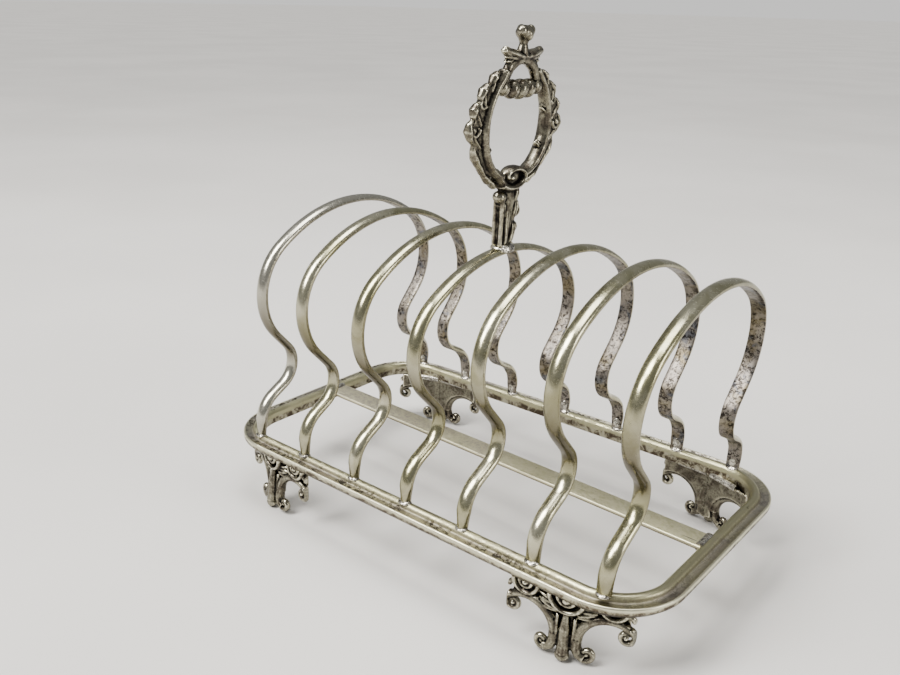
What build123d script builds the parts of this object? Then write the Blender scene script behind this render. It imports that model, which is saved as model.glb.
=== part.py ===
from build123d import *
from math import cos, pi, radians, sin
import os

# Toast rack for six slices.  Millimetres, +Z up, X along the rack, Y across it.
# Origin: middle of the footprint, on the table.

os.makedirs("parts", exist_ok=True)

# ---- driving dimensions ------------------------------------------------------------------

RAIL_LENGTH = 172.0
RAIL_WIDTH = 99.5
RAIL_CORNER_RADIUS = 21.7
RAIL_TOP = 25.0

RAIL_SECTION_WIDTH = 6.6
RAIL_SECTION_DEPTH = 5.0
RIDGE_RADIUS = 1.6
BEAD_RADIUS = 1.0
BEAD_DROP = 1.2
COVE_DROP = 2.2
LIP_DEPTH = 3.7
LIP_STEP = 0.7

HOOP_POSITIONS = (-69.0, -46.3, -22.8, 0.6, 23.1, 47.5, 69.0)
HOOP_LEANS = (0.035, -0.004, 0.039, -0.027, -0.037, 0.015, 0.057)
HOOP_SWAYS = (-0.01, -0.03, -0.04, 0.04, 0.10, 0.015, -0.03)
HOOP_TURNS = (-0.02, -0.019, -0.018, 0.006, 0.008, -0.007, -0.031)
HOOP_STRETCHES = (1.037, 1.015, 1.009, 0.94, 0.977, 1.0, 1.0)
HOOP_FOOT_HALF_SPAN = 44.8
HOOP_WIRE_WIDTH = 4.9
HOOP_WIRE_THICKNESS = 2.1
HOOP_WIRE_EDGE = 0.4
HOOP_STEPS = 72
HOOP_FOOT_TRIM = 1.0

LEG_LENGTH = 4.1
ANKLE_RADIUS = 10.8
ANKLE_TURN = 62.0
ANKLE_RUN = 5.2
WAIST_RADIUS = 8.5
FLARE_ANGLE = 43.0
FLARE_RUN = 7.0
SHOULDER_RADIUS = 20.0
SHOULDER_TURN = 98.6

TENON_DIAMETER = 1.8
TENON_LENGTH = 3.0
TENON_BITE = 0.5

STRAP_WIDTH = 8.2
STRAP_THICKNESS = 1.3
STRAP_DROP = 0.6
STRAP_SKEW = -0.031
STRAP_EDGE = 0.25

FOOT_CORNERS = {
    "front_left": (-1, -1),
    "front_right": (1, -1),
    "back_left": (-1, 1),
    "back_right": (1, 1),
}
FOOT_X = 60.5
FOOT_Y = 45.3
FOOT_INNER_TURN = 5.0
FOOT_OUTER_TURN = 20.0
FOOT_HALF_WIDTH = 17.2
FOOT_PLATE = 2.0
SCROLL_X = 12.0
SCROLL_Y = 6.2
SCROLL_INNER = 8.0
SCROLL_OUTER = 9.8
SCROLL_END = 52.0
SCROLL_RELIEF = 1.2
TOE_X = 5.9
TOE_Y = 2.9
SIDE_TOE_RADIUS = 1.9
SIDE_TOE_OUT = 0.7
MIDDLE_TOE_RADIUS = 2.0
MIDDLE_TOE_Y = 1.5
MIDDLE_TOE_OUT = 1.5
RIB_HEIGHT = 12.5
RIB_ROOT_RADIUS = 1.8
RIB_TIP_RADIUS = 0.7
SHELL_X = 12.8
SHELL_STEPS = ((4.2, 0.5), (2.7, 1.0))
DROP_RADIUS = 5.4
DROP_RELIEF = 0.6

MIDDLE_HOOP = 3
HANDLE_LEAN = 0.06
HANDLE_SWAY = 0.018
STEM_RADIUS = 3.2
STEM_HEIGHT = 20.5
STEM_SEAT = 0.8
STEM_COLLAR = 1.0
STEM_SWELL = ((0.1, 4.0), (0.6, 9.0), (1.1, 15.0), (0.2, 18.0), (-0.4, STEM_HEIGHT))
RING_BOTTOM = 22.2
RING_FLAT = 3.0
RING_HALF_WIDTH = 18.0
RING_UPPER_RADIUS = 20.0
RING_UPPER_TURN = 50.0
RING_TIP_RUN = 4.0
RING_BAND_WIDTH = 3.6
RING_BAND_DEPTH = 4.2
LEAF_DEPTH = 3.2
LEAF_ROOT = (9.5, 21.0)
LEAF_LOBES = (
    ((15.0, 25.8), (18.9, 29.9), (20.8, 34.2)),
    ((20.8, 34.2), (23.6, 38.0), (21.2, 41.2)),
    ((21.2, 41.2), (20.9, 44.3), (18.4, 45.9)),
    ((18.4, 45.9), (17.4, 49.6), (13.4, 51.3)),
)
LEAF_TIP = (10.2, 54.6)
LEAF_MIDRIB = (16.8, 38.0)
ROLL_REACH = 14.0
ROLL_RADIUS = 3.3
ROLL_Y = 48.8
ARCH_OUTER = 8.4
ARCH_INNER = 5.6
ARCH_FOOT = 51.0
ARCH_TOP = 58.4
ARCH_BAR = 3.6
ARCH_DEPTH = 2.8
BRACKET_REACH = 9.6
BRACKET_HEIGHT = 3.4
BRACKET_CORNER = 1.6
BRACKET_DEPTH = 4.0
BRACKET_Y = 58.9
NECK_RADIUS = 1.3
BUD_RADIUS = 3.3
BUD_PROFILE = ((0, -2.6), (0.7, -2.0), (1, -0.4), (1, 0.6), (0.7, 2.1), (0, 2.6))
BUD_Y = 64.8
VOLUTE_Y = 22.0
VOLUTE_HALF_WIDTH = 6.2
VOLUTE_HALF_HEIGHT = 3.9
VOLUTE_DEPTH = 5.2
VOLUTE_EYE = 1.5
VOLUTE_EYE_RADIUS = 1.4
KNOB_REACH = 4.2
KNOB_Y = 16.5
FAR_KNOB_Y = 12.5
KNOB_RADIUS = 1.6

HOOP_SOLDER_X = 3.4
HOOP_SOLDER_Y = 2.4
HOOP_SOLDER_SINK = 1.2
HOOP_SOLDER_HEIGHT = 2.0
HOOP_SOLDER_TAPER = 30.0
STRAP_SOLDER_RADIUS = 1.5
FOOT_SOLDER_RADIUS = 1.1
FOOT_SOLDER_LENGTH = 11.0
FOOT_SOLDER_START = 1.0
HANDLE_SOLDER_RADIUS = 4.6
HANDLE_SOLDER_SINK = 1.4
HANDLE_SOLDER_HEIGHT = 2.6
HANDLE_SOLDER_TAPER = 25.0


def write(name, label):
    """Label a finished piece and write its own STEP file."""
    name.part.label = label
    export_step(name.part, "parts/" + label + ".step")


def hoop_point(index, across, height):
    """Place a point of the former's outline on the hoop as it stands."""
    z = height * HOOP_STRETCHES[index]
    x = HOOP_POSITIONS[index] + HOOP_LEANS[index] * z + HOOP_TURNS[index] * across
    return Vector(x, across + HOOP_SWAYS[index] * z, RAIL_TOP + z)


def hoop_feet():
    """Where the fourteen hoop feet stand on the rail."""
    sides = (-HOOP_FOOT_HALF_SPAN, HOOP_FOOT_HALF_SPAN)
    return [hoop_point(index, side, 0) for index in range(len(HOOP_POSITIONS)) for side in sides]


# ---- base rail ---------------------------------------------------------------------------
# The section is drawn from the outer edge inward (w) and from the rail's top down.

def build_rail():
    half_section = RAIL_SECTION_WIDTH / 2
    path_corner_radius = RAIL_CORNER_RADIUS - half_section
    path_x = RAIL_LENGTH / 2 - half_section
    path_y = RAIL_WIDTH / 2 - half_section
    ridge_outer = RAIL_SECTION_WIDTH - 2 * RIDGE_RADIUS
    with BuildPart() as rail:
        with BuildLine(Plane.XY.offset(RAIL_TOP)) as path:
            side = Line((0, -path_y), (path_x - path_corner_radius, -path_y))
            turn = JernArc(side @ 1, side % 1, path_corner_radius, 90)
            side = Line(turn @ 1, (path_x, path_y - path_corner_radius))
            turn = JernArc(side @ 1, side % 1, path_corner_radius, 90)
            side = Line(turn @ 1, (path_corner_radius - path_x, path_y))
            turn = JernArc(side @ 1, side % 1, path_corner_radius, 90)
            side = Line(turn @ 1, (-path_x, path_corner_radius - path_y))
            turn = JernArc(side @ 1, side % 1, path_corner_radius, 90)
            Line(turn @ 1, (0, -path_y))
        with BuildSketch(Plane(origin=(0, -path_y, RAIL_TOP), x_dir=(0, 1, 0), z_dir=(1, 0, 0))):
            with BuildLine(Plane.XY):
                w0 = -half_section
                w1 = half_section
                inner = Line((w1, -RAIL_SECTION_DEPTH), (w1, -RIDGE_RADIUS))
                ridge_end = (w0 + ridge_outer, -RIDGE_RADIUS)
                ridge = ThreePointArc(inner @ 1, (w1 - RIDGE_RADIUS, 0), ridge_end)
                cove_middle = (w0 + (ridge_outer + BEAD_RADIUS) / 2, -COVE_DROP)
                cove = ThreePointArc(ridge @ 1, cove_middle, (w0 + BEAD_RADIUS, -BEAD_DROP))
                bead = ThreePointArc(
                    cove @ 1,
                    (w0 + BEAD_RADIUS * (1 - cos(pi / 4)), -BEAD_DROP - BEAD_RADIUS * (1 - sin(pi / 4))),
                    (w0, -BEAD_DROP - BEAD_RADIUS),
                )
                edge = Line(bead @ 1, (w0, -LIP_DEPTH + LIP_STEP))
                lip = ThreePointArc(
                    edge @ 1,
                    (w0 + LIP_STEP * (1 - cos(pi / 4)), -LIP_DEPTH + LIP_STEP * (1 - sin(pi / 4))),
                    (w0 + LIP_STEP, -LIP_DEPTH),
                )
                under = Line(lip @ 1, (w0 + BEAD_RADIUS + LIP_STEP, -RAIL_SECTION_DEPTH))
                Line(under @ 1, inner @ 0)
            make_face()
        sweep(path=path.wire())
        with Locations([foot - Vector(0, 0, TENON_LENGTH / 2) for foot in hoop_feet()]):
            Cylinder(TENON_DIAMETER / 2, TENON_LENGTH, mode=Mode.SUBTRACT)
    return rail


# ---- hoops -------------------------------------------------------------------------------
# Each hoop is bent on one former, then stands a little off true: it leans along the rack,
# sways across it, turns about its own middle, and is drawn slightly taller or lower.

def hoop_outline():
    """The former's outline from one foot over the crown to the other, as tangent lines and arcs."""
    with BuildLine() as outline:
        leg = Line((HOOP_FOOT_HALF_SPAN, 0), (HOOP_FOOT_HALF_SPAN, LEG_LENGTH))
        ankle = JernArc(leg @ 1, leg % 1, ANKLE_RADIUS, ANKLE_TURN)
        run = Line(ankle @ 1, ankle @ 1 + (ankle % 1) * ANKLE_RUN)
        waist = JernArc(run @ 1, run % 1, WAIST_RADIUS, -(ANKLE_TURN + FLARE_ANGLE))
        flare = Line(waist @ 1, waist @ 1 + (waist % 1) * FLARE_RUN)
        shoulder = JernArc(flare @ 1, flare % 1, SHOULDER_RADIUS, SHOULDER_TURN)
        crown_turn = 90 + FLARE_ANGLE - SHOULDER_TURN
        crown_radius = (shoulder @ 1).X / sin(radians(crown_turn))
        JernArc(shoulder @ 1, shoulder % 1, crown_radius, crown_turn)
        mirror(about=Plane.YZ)
    return outline.wire()


def build_hoop(index, outline):
    points = [outline @ (step / HOOP_STEPS) for step in range(HOOP_STEPS + 1)]
    if points[0].X < points[-1].X:
        points.reverse()
    low = hoop_point(index, points[0].X, -HOOP_FOOT_TRIM)
    stations = [hoop_point(index, point.X, point.Y) for point in points]
    far_low = hoop_point(index, points[-1].X, -HOOP_FOOT_TRIM)
    rise = (stations[0] - low).normalized()
    along = Vector(HOOP_TURNS[index], 1, 0)
    half_width = HOOP_WIRE_WIDTH / 2
    half_thick = HOOP_WIRE_THICKNESS / 2
    shoulder = half_thick - HOOP_WIRE_EDGE
    with BuildPart() as hoop:
        with BuildLine() as path:
            Spline([low] + stations + [far_low], tangents=(rise, rise * -1))
        with BuildSketch(Plane(origin=low, x_dir=along.cross(rise), z_dir=rise)):
            with BuildLine():
                flat = Line((half_width, -half_thick), (-half_width, -half_thick))
                side = Line(flat @ 1, (-half_width, shoulder))
                crest = ThreePointArc(side @ 1, (0, half_thick), (half_width, shoulder))
                Line(crest @ 1, flat @ 0)
            make_face()
        sweep(path=path.wire())
        split(bisect_by=Plane.XY.offset(RAIL_TOP), keep=Keep.TOP)
        for side in (-1, 1):
            foot = hoop_point(index, side * HOOP_FOOT_HALF_SPAN, 0)
            with Locations((foot.X, foot.Y, RAIL_TOP - TENON_LENGTH / 2 + TENON_BITE / 2)):
                Cylinder(TENON_DIAMETER / 2, TENON_LENGTH + TENON_BITE)
    return hoop


# ---- centre strap --------------------------------------------------------------------------
# A flat bar from one short side of the rail to the other, set slightly askew.

def build_strap():
    half_length = RAIL_LENGTH / 2 - RAIL_SECTION_WIDTH
    half_width = STRAP_WIDTH / 2
    drift = half_length * STRAP_SKEW
    bottom = RAIL_TOP - STRAP_DROP - STRAP_THICKNESS
    with BuildPart() as strap:
        with BuildSketch(Plane.XY.offset(bottom)):
            with BuildLine():
                Polyline(
                    (-half_length, -drift - half_width),
                    (half_length, drift - half_width),
                    (half_length, drift + half_width),
                    (-half_length, -drift + half_width),
                    close=True,
                )
            make_face()
        extrude(amount=STRAP_THICKNESS)
        long_edges = strap.edges().filter_by(lambda edge: edge.length > half_length)
        fillet(long_edges, radius=STRAP_EDGE)
    return strap


# ---- feet ----------------------------------------------------------------------------------
# A foot is two upright halves that meet at its middle, bent to follow the rail's corner.
# In a half's plane, local x runs from the middle of the foot outward and local y up from the table.

def foot_half(side_x, side_y, reach):
    """Plane of one half of a foot, and +1 or -1 for the way its normal faces outward."""
    turn = radians(FOOT_OUTER_TURN if reach > 0 else FOOT_INNER_TURN)
    along = Vector(reach * side_x * cos(turn), -reach * side_y * sin(turn), 0)
    outward = Vector(side_x * sin(turn), side_y * cos(turn), 0)
    normal = along.cross(Vector(0, 0, 1))
    plane = Plane(origin=(side_x * FOOT_X, side_y * FOOT_Y, 0), x_dir=along, z_dir=normal)
    return plane, 1 if normal.dot(outward) > 0 else -1


def on_scroll(radius, angle):
    """A point on the foot's C-scroll."""
    return (SCROLL_X + radius * cos(radians(angle)), SCROLL_Y + radius * sin(radians(angle)))


def scroll_edge(radius):
    """Start, middle and end of one edge of the C-scroll."""
    return [on_scroll(radius, angle) for angle in (SCROLL_END, (SCROLL_END + 180) / 2, 180)]


def foot_plate():
    """Half of the foot's plate: under the rail, round the scroll and down to the toes."""
    plate_top = RAIL_TOP - RAIL_SECTION_DEPTH
    with BuildSketch() as plate:
        with BuildLine():
            top = Line((0, plate_top), (FOOT_HALF_WIDTH, plate_top))
            end = Line(top @ 1, on_scroll(SCROLL_OUTER, SCROLL_END))
            Line(end @ 1, on_scroll(SCROLL_INNER, SCROLL_END))
            scroll = ThreePointArc(*scroll_edge(SCROLL_INNER))
            toe = Line(scroll @ 1, (TOE_X, TOE_Y + SIDE_TOE_RADIUS))
            toe = Line(toe @ 1, (TOE_X, TOE_Y - 1))
            toe = Line(toe @ 1, (0, MIDDLE_TOE_Y))
            Line(toe @ 1, top @ 0)
        make_face()
    return plate.sketch


def foot_scroll():
    """The raised band along the C-scroll, running down into the side toe."""
    with BuildSketch() as scroll:
        with BuildLine():
            outer = ThreePointArc(*scroll_edge(SCROLL_OUTER))
            toe = Line(outer @ 1, (TOE_X - SIDE_TOE_RADIUS, TOE_Y))
            toe = Line(toe @ 1, (TOE_X, TOE_Y))
            inner = ThreePointArc(*scroll_edge(SCROLL_INNER))
            Line(toe @ 1, inner @ 1)
            Line(inner @ 0, outer @ 0)
        make_face()
    return scroll.sketch


def half_disc(centre_x, radius):
    """A half disc hanging from the rail."""
    plate_top = RAIL_TOP - RAIL_SECTION_DEPTH
    left = max(centre_x - radius, 0)
    with BuildSketch() as disc:
        with BuildLine():
            if left > 0:
                right = centre_x + radius
                ThreePointArc((left, plate_top), (centre_x, plate_top - radius), (right, plate_top))
                Line((right, plate_top), (left, plate_top))
            else:
                corner = radius * cos(pi / 4)
                ThreePointArc((0, plate_top - radius), (corner, plate_top - corner), (radius, plate_top))
                Line((radius, plate_top), (0, plate_top))
                Line((0, plate_top), (0, plate_top - radius))
        make_face()
    return disc.sketch


def build_foot(side_x, side_y):
    with BuildPart() as foot:
        for reach in (-1, 1):
            plane, facing = foot_half(side_x, side_y, reach)
            back = plane.offset(-facing * FOOT_PLATE / 2)
            with BuildSketch(back):
                add(foot_plate())
            extrude(amount=facing * FOOT_PLATE)
            with BuildSketch(back):
                add(foot_scroll())
            extrude(amount=facing * (FOOT_PLATE + SCROLL_RELIEF))
            for radius, relief in SHELL_STEPS:
                with BuildSketch(back):
                    add(half_disc(SHELL_X, radius))
                extrude(amount=facing * (FOOT_PLATE + relief))
            with BuildSketch(back):
                add(half_disc(0, DROP_RADIUS))
            extrude(amount=facing * (FOOT_PLATE + DROP_RELIEF))
            with Locations(plane.from_local_coords((TOE_X, TOE_Y, facing * SIDE_TOE_OUT))):
                Sphere(SIDE_TOE_RADIUS)
        bisector = radians((FOOT_INNER_TURN + FOOT_OUTER_TURN) / 2)
        toe = Vector(
            side_x * (FOOT_X + MIDDLE_TOE_OUT * sin(bisector)),
            side_y * (FOOT_Y + MIDDLE_TOE_OUT * cos(bisector)),
            MIDDLE_TOE_Y,
        )
        with Locations(toe):
            Sphere(MIDDLE_TOE_RADIUS)
        with Locations(toe + Vector(0, 0, RIB_HEIGHT / 2)):
            Cone(RIB_ROOT_RADIUS, RIB_TIP_RADIUS, RIB_HEIGHT)
        split(bisect_by=Plane.XY, keep=Keep.TOP)
    return foot


# ---- ring handle -----------------------------------------------------------------------------
# The handle's own plane: local x across the rack, local y up the leaning stem from the crown
# of the middle hoop.

def handle_plane(former_height):
    height = former_height + HOOP_WIRE_THICKNESS / 2 / HOOP_STRETCHES[MIDDLE_HOOP]
    crown = hoop_point(MIDDLE_HOOP, 0, height)
    up = Vector(HANDLE_LEAN, HANDLE_SWAY, 1).normalized()
    across = (Vector(0, 1, 0) - up * up.Y).normalized()
    return Plane(origin=crown, x_dir=across, z_dir=across.cross(up))


def build_handle(plane, middle_hoop):
    def place(across, height, forward=0.0):
        return plane.from_local_coords((across, height, forward))

    axis = Axis(plane.origin, plane.y_dir)
    with BuildLine() as flat_arm:
        foot = Line((0, RING_BOTTOM), (RING_FLAT, RING_BOTTOM))
        lower = JernArc(foot @ 1, foot % 1, RING_HALF_WIDTH - RING_FLAT, 90)
        upper = JernArc(lower @ 1, lower % 1, RING_UPPER_RADIUS, RING_UPPER_TURN)
        Line(upper @ 1, upper @ 1 + (upper % 1) * RING_TIP_RUN)
    arm_path = plane.from_local_coords(flat_arm.wire())
    with BuildPart() as handle:
        with BuildSketch(plane):
            with BuildLine():
                base = Line((0, -STEM_SEAT), (STEM_RADIUS, -STEM_SEAT))
                wall = Line(base @ 1, (STEM_RADIUS, STEM_COLLAR))
                swell = Spline([wall @ 1] + [(STEM_RADIUS + extra, y) for extra, y in STEM_SWELL])
                top = Line(swell @ 1, (0, STEM_HEIGHT))
                Line(top @ 1, base @ 0)
            make_face()
        revolve(axis=axis)
        with BuildSketch(Plane(origin=place(0, RING_BOTTOM), x_dir=plane.z_dir, z_dir=plane.x_dir)):
            Ellipse(RING_BAND_DEPTH / 2, RING_BAND_WIDTH / 2)
        sweep(path=arm_path)
        with BuildSketch(plane.offset(-LEAF_DEPTH / 2)):
            with BuildLine():
                edge = Line(LEAF_ROOT, LEAF_LOBES[0][0])
                for start, crest, end in LEAF_LOBES:
                    edge = ThreePointArc(start, crest, end)
                edge = Line(edge @ 1, LEAF_TIP)
                ThreePointArc(edge @ 1, LEAF_MIDRIB, LEAF_ROOT)
            make_face()
        extrude(amount=LEAF_DEPTH)
        mirror(about=Plane(origin=plane.origin, x_dir=plane.y_dir, z_dir=plane.x_dir))
        with BuildSketch(plane):
            with BuildLine():
                ThreePointArc((-ROLL_REACH, ROLL_Y), (0, ROLL_Y + ROLL_RADIUS), (ROLL_REACH, ROLL_Y))
                Line((ROLL_REACH, ROLL_Y), (-ROLL_REACH, ROLL_Y))
            make_face()
        revolve(axis=Axis(place(0, ROLL_Y), plane.x_dir))
        with BuildSketch(plane.offset(-ARCH_DEPTH / 2)):
            with BuildLine():
                ThreePointArc((-ARCH_OUTER, ARCH_FOOT), (0, ARCH_TOP), (ARCH_OUTER, ARCH_FOOT))
                Line((ARCH_OUTER, ARCH_FOOT), (ARCH_INNER, ARCH_FOOT))
                ThreePointArc((ARCH_INNER, ARCH_FOOT), (0, ARCH_TOP - ARCH_BAR), (-ARCH_INNER, ARCH_FOOT))
                Line((-ARCH_INNER, ARCH_FOOT), (-ARCH_OUTER, ARCH_FOOT))
            make_face()
        extrude(amount=ARCH_DEPTH)
        with BuildSketch(plane.offset(-BRACKET_DEPTH / 2)):
            with Locations((0, BRACKET_Y)):
                RectangleRounded(2 * BRACKET_REACH, BRACKET_HEIGHT, BRACKET_CORNER)
        extrude(amount=BRACKET_DEPTH)
        with BuildSketch(plane):
            with BuildLine():
                neck = Line((0, BRACKET_Y), (NECK_RADIUS, BRACKET_Y))
                side = Line(neck @ 1, (NECK_RADIUS, BUD_Y))
                Line(side @ 1, (0, BUD_Y))
                Line((0, BUD_Y), (0, BRACKET_Y))
            make_face()
        revolve(axis=axis)
        with BuildSketch(plane):
            with BuildLine():
                Polyline([(BUD_RADIUS * share, BUD_Y + rise) for share, rise in BUD_PROFILE], close=True)
            make_face()
        revolve(axis=axis)
        with BuildSketch(plane.offset(-VOLUTE_DEPTH / 2)):
            with Locations((0, VOLUTE_Y)):
                Ellipse(VOLUTE_HALF_WIDTH, VOLUTE_HALF_HEIGHT)
        extrude(amount=VOLUTE_DEPTH)
        front_eye = place(VOLUTE_EYE, VOLUTE_Y, VOLUTE_DEPTH / 2)
        back_eye = place(-VOLUTE_EYE, VOLUTE_Y, -VOLUTE_DEPTH / 2)
        with Locations(front_eye, back_eye):
            Sphere(VOLUTE_EYE_RADIUS)
        with Locations(place(-KNOB_REACH, KNOB_Y), place(KNOB_REACH, FAR_KNOB_Y)):
            Sphere(KNOB_RADIUS)
        add(middle_hoop.part, mode=Mode.SUBTRACT)
    return handle


# ---- solder ----------------------------------------------------------------------------------

def build_hoop_solder(rail, hoops):
    spots = [foot - Vector(0, 0, RAIL_TOP) for foot in hoop_feet()]
    with BuildPart() as solder:
        with BuildSketch(Plane.XY.offset(RAIL_TOP - HOOP_SOLDER_SINK)):
            with Locations(spots):
                Ellipse(HOOP_SOLDER_X, HOOP_SOLDER_Y)
        extrude(amount=HOOP_SOLDER_HEIGHT, taper=HOOP_SOLDER_TAPER)
        add(rail.part, mode=Mode.SUBTRACT)
        for hoop in hoops:
            add(hoop.part, mode=Mode.SUBTRACT)
    return solder


def build_strap_solder(rail, strap):
    half_length = RAIL_LENGTH / 2 - RAIL_SECTION_WIDTH
    middle = RAIL_TOP - STRAP_DROP - STRAP_THICKNESS / 2
    with BuildPart() as solder:
        for side in (-1, 1):
            end = (side * half_length, side * half_length * STRAP_SKEW, middle)
            with Locations(Location(end, (90, 0, 0))):
                Cylinder(STRAP_SOLDER_RADIUS, STRAP_WIDTH - 1)
        add(rail.part, mode=Mode.SUBTRACT)
        add(strap.part, mode=Mode.SUBTRACT)
    return solder


def build_foot_solder(rail, feet):
    with BuildPart() as solder:
        for side_x, side_y in FOOT_CORNERS.values():
            for reach in (-1, 1):
                plane, facing = foot_half(side_x, side_y, reach)
                height = RAIL_TOP - RAIL_SECTION_DEPTH
                start = plane.from_local_coords((FOOT_SOLDER_START, height, -facing * FOOT_PLATE / 2))
                with BuildSketch(Plane(origin=start, z_dir=plane.x_dir)):
                    Circle(FOOT_SOLDER_RADIUS)
                extrude(amount=FOOT_SOLDER_LENGTH)
        add(rail.part, mode=Mode.SUBTRACT)
        for foot in feet:
            add(foot.part, mode=Mode.SUBTRACT)
    return solder


def build_handle_solder(plane, handle, middle_hoop):
    seat = Plane(origin=plane.origin, x_dir=plane.z_dir, z_dir=plane.y_dir).offset(-HANDLE_SOLDER_SINK)
    with BuildPart() as solder:
        with BuildSketch(seat):
            Circle(HANDLE_SOLDER_RADIUS)
        extrude(amount=HANDLE_SOLDER_HEIGHT, taper=HANDLE_SOLDER_TAPER)
        add(middle_hoop.part, mode=Mode.SUBTRACT)
        add(handle.part, mode=Mode.SUBTRACT)
    return solder


if __name__ == "__main__":
    base_rail = build_rail()
    write(base_rail, "base_rail")

    former = hoop_outline()
    hoops = [build_hoop(index, former) for index in range(len(HOOP_POSITIONS))]
    for number, hoop in enumerate(hoops, start=1):
        write(hoop, "hoop_" + str(number))

    centre_strap = build_strap()
    write(centre_strap, "centre_strap")

    feet = []
    for corner, (side_x, side_y) in FOOT_CORNERS.items():
        foot = build_foot(side_x, side_y)
        write(foot, "foot_" + corner)
        feet.append(foot)

    standing_plane = handle_plane(former.bounding_box().max.Y)
    ring_handle = build_handle(standing_plane, hoops[MIDDLE_HOOP])
    write(ring_handle, "ring_handle")

    hoop_solder = build_hoop_solder(base_rail, hoops)
    write(hoop_solder, "hoop_solder")
    strap_solder = build_strap_solder(base_rail, centre_strap)
    write(strap_solder, "strap_solder")
    foot_solder = build_foot_solder(base_rail, feet)
    write(foot_solder, "foot_solder")
    handle_solder = build_handle_solder(standing_plane, ring_handle, hoops[MIDDLE_HOOP])
    write(handle_solder, "handle_solder")
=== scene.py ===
"""Toast rack for six slices: silver plate hoops on an oblong rail, cast feet and ring handle."""

import logging
from dataclasses import dataclass, field
from enum import Enum
from math import atan2, cos, degrees, pi, radians, sin, tau
from typing import Sequence

import bmesh
import bpy
import numpy as np
from mathutils import Matrix, Vector


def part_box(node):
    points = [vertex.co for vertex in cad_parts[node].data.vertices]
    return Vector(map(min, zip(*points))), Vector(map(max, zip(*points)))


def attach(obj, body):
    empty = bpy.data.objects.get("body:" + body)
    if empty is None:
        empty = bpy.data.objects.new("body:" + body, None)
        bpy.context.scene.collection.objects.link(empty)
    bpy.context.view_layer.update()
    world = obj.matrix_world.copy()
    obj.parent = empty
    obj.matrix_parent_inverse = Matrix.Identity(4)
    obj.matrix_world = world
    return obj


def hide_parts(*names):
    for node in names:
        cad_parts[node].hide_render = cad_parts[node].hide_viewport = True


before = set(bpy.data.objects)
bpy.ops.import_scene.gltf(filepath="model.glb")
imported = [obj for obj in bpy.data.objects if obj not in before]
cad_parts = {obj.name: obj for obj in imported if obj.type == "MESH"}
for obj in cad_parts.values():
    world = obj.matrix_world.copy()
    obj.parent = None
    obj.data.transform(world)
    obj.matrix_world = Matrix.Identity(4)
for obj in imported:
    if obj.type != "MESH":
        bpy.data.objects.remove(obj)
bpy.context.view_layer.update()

LOG = logging.getLogger("toast_rack")
MM = 0.001
ROOT = "root"
Span = tuple[float, float]
Colour = tuple[float, float, float]
Point = tuple[float, float, float]
Station = tuple[Vector | Point, float]
Table = Sequence[tuple[float, float, float, float]]
Inputs = dict[str | int, object]
Piece = bpy.types.Object
Finish = bpy.types.Material
Socket = bpy.types.NodeSocket


class Slot(Enum):
    """Names of the record's material slots, handed to each piece but not read."""

    RAIL = "rail_plate"
    STRAP = "strap_plate"
    HOOP = "hoop_plate"
    CAST = "cast_silver"
    SOLDER = "solder"


class Mark(Enum):
    """Values kept on a mesh's vertices for its finish to read."""

    ROUND = "round"
    ACROSS = "across"
    RISE = "rise"
    DEPTH = "depth"


# ---- finishes ------------------------------------------------------------------------------


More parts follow.
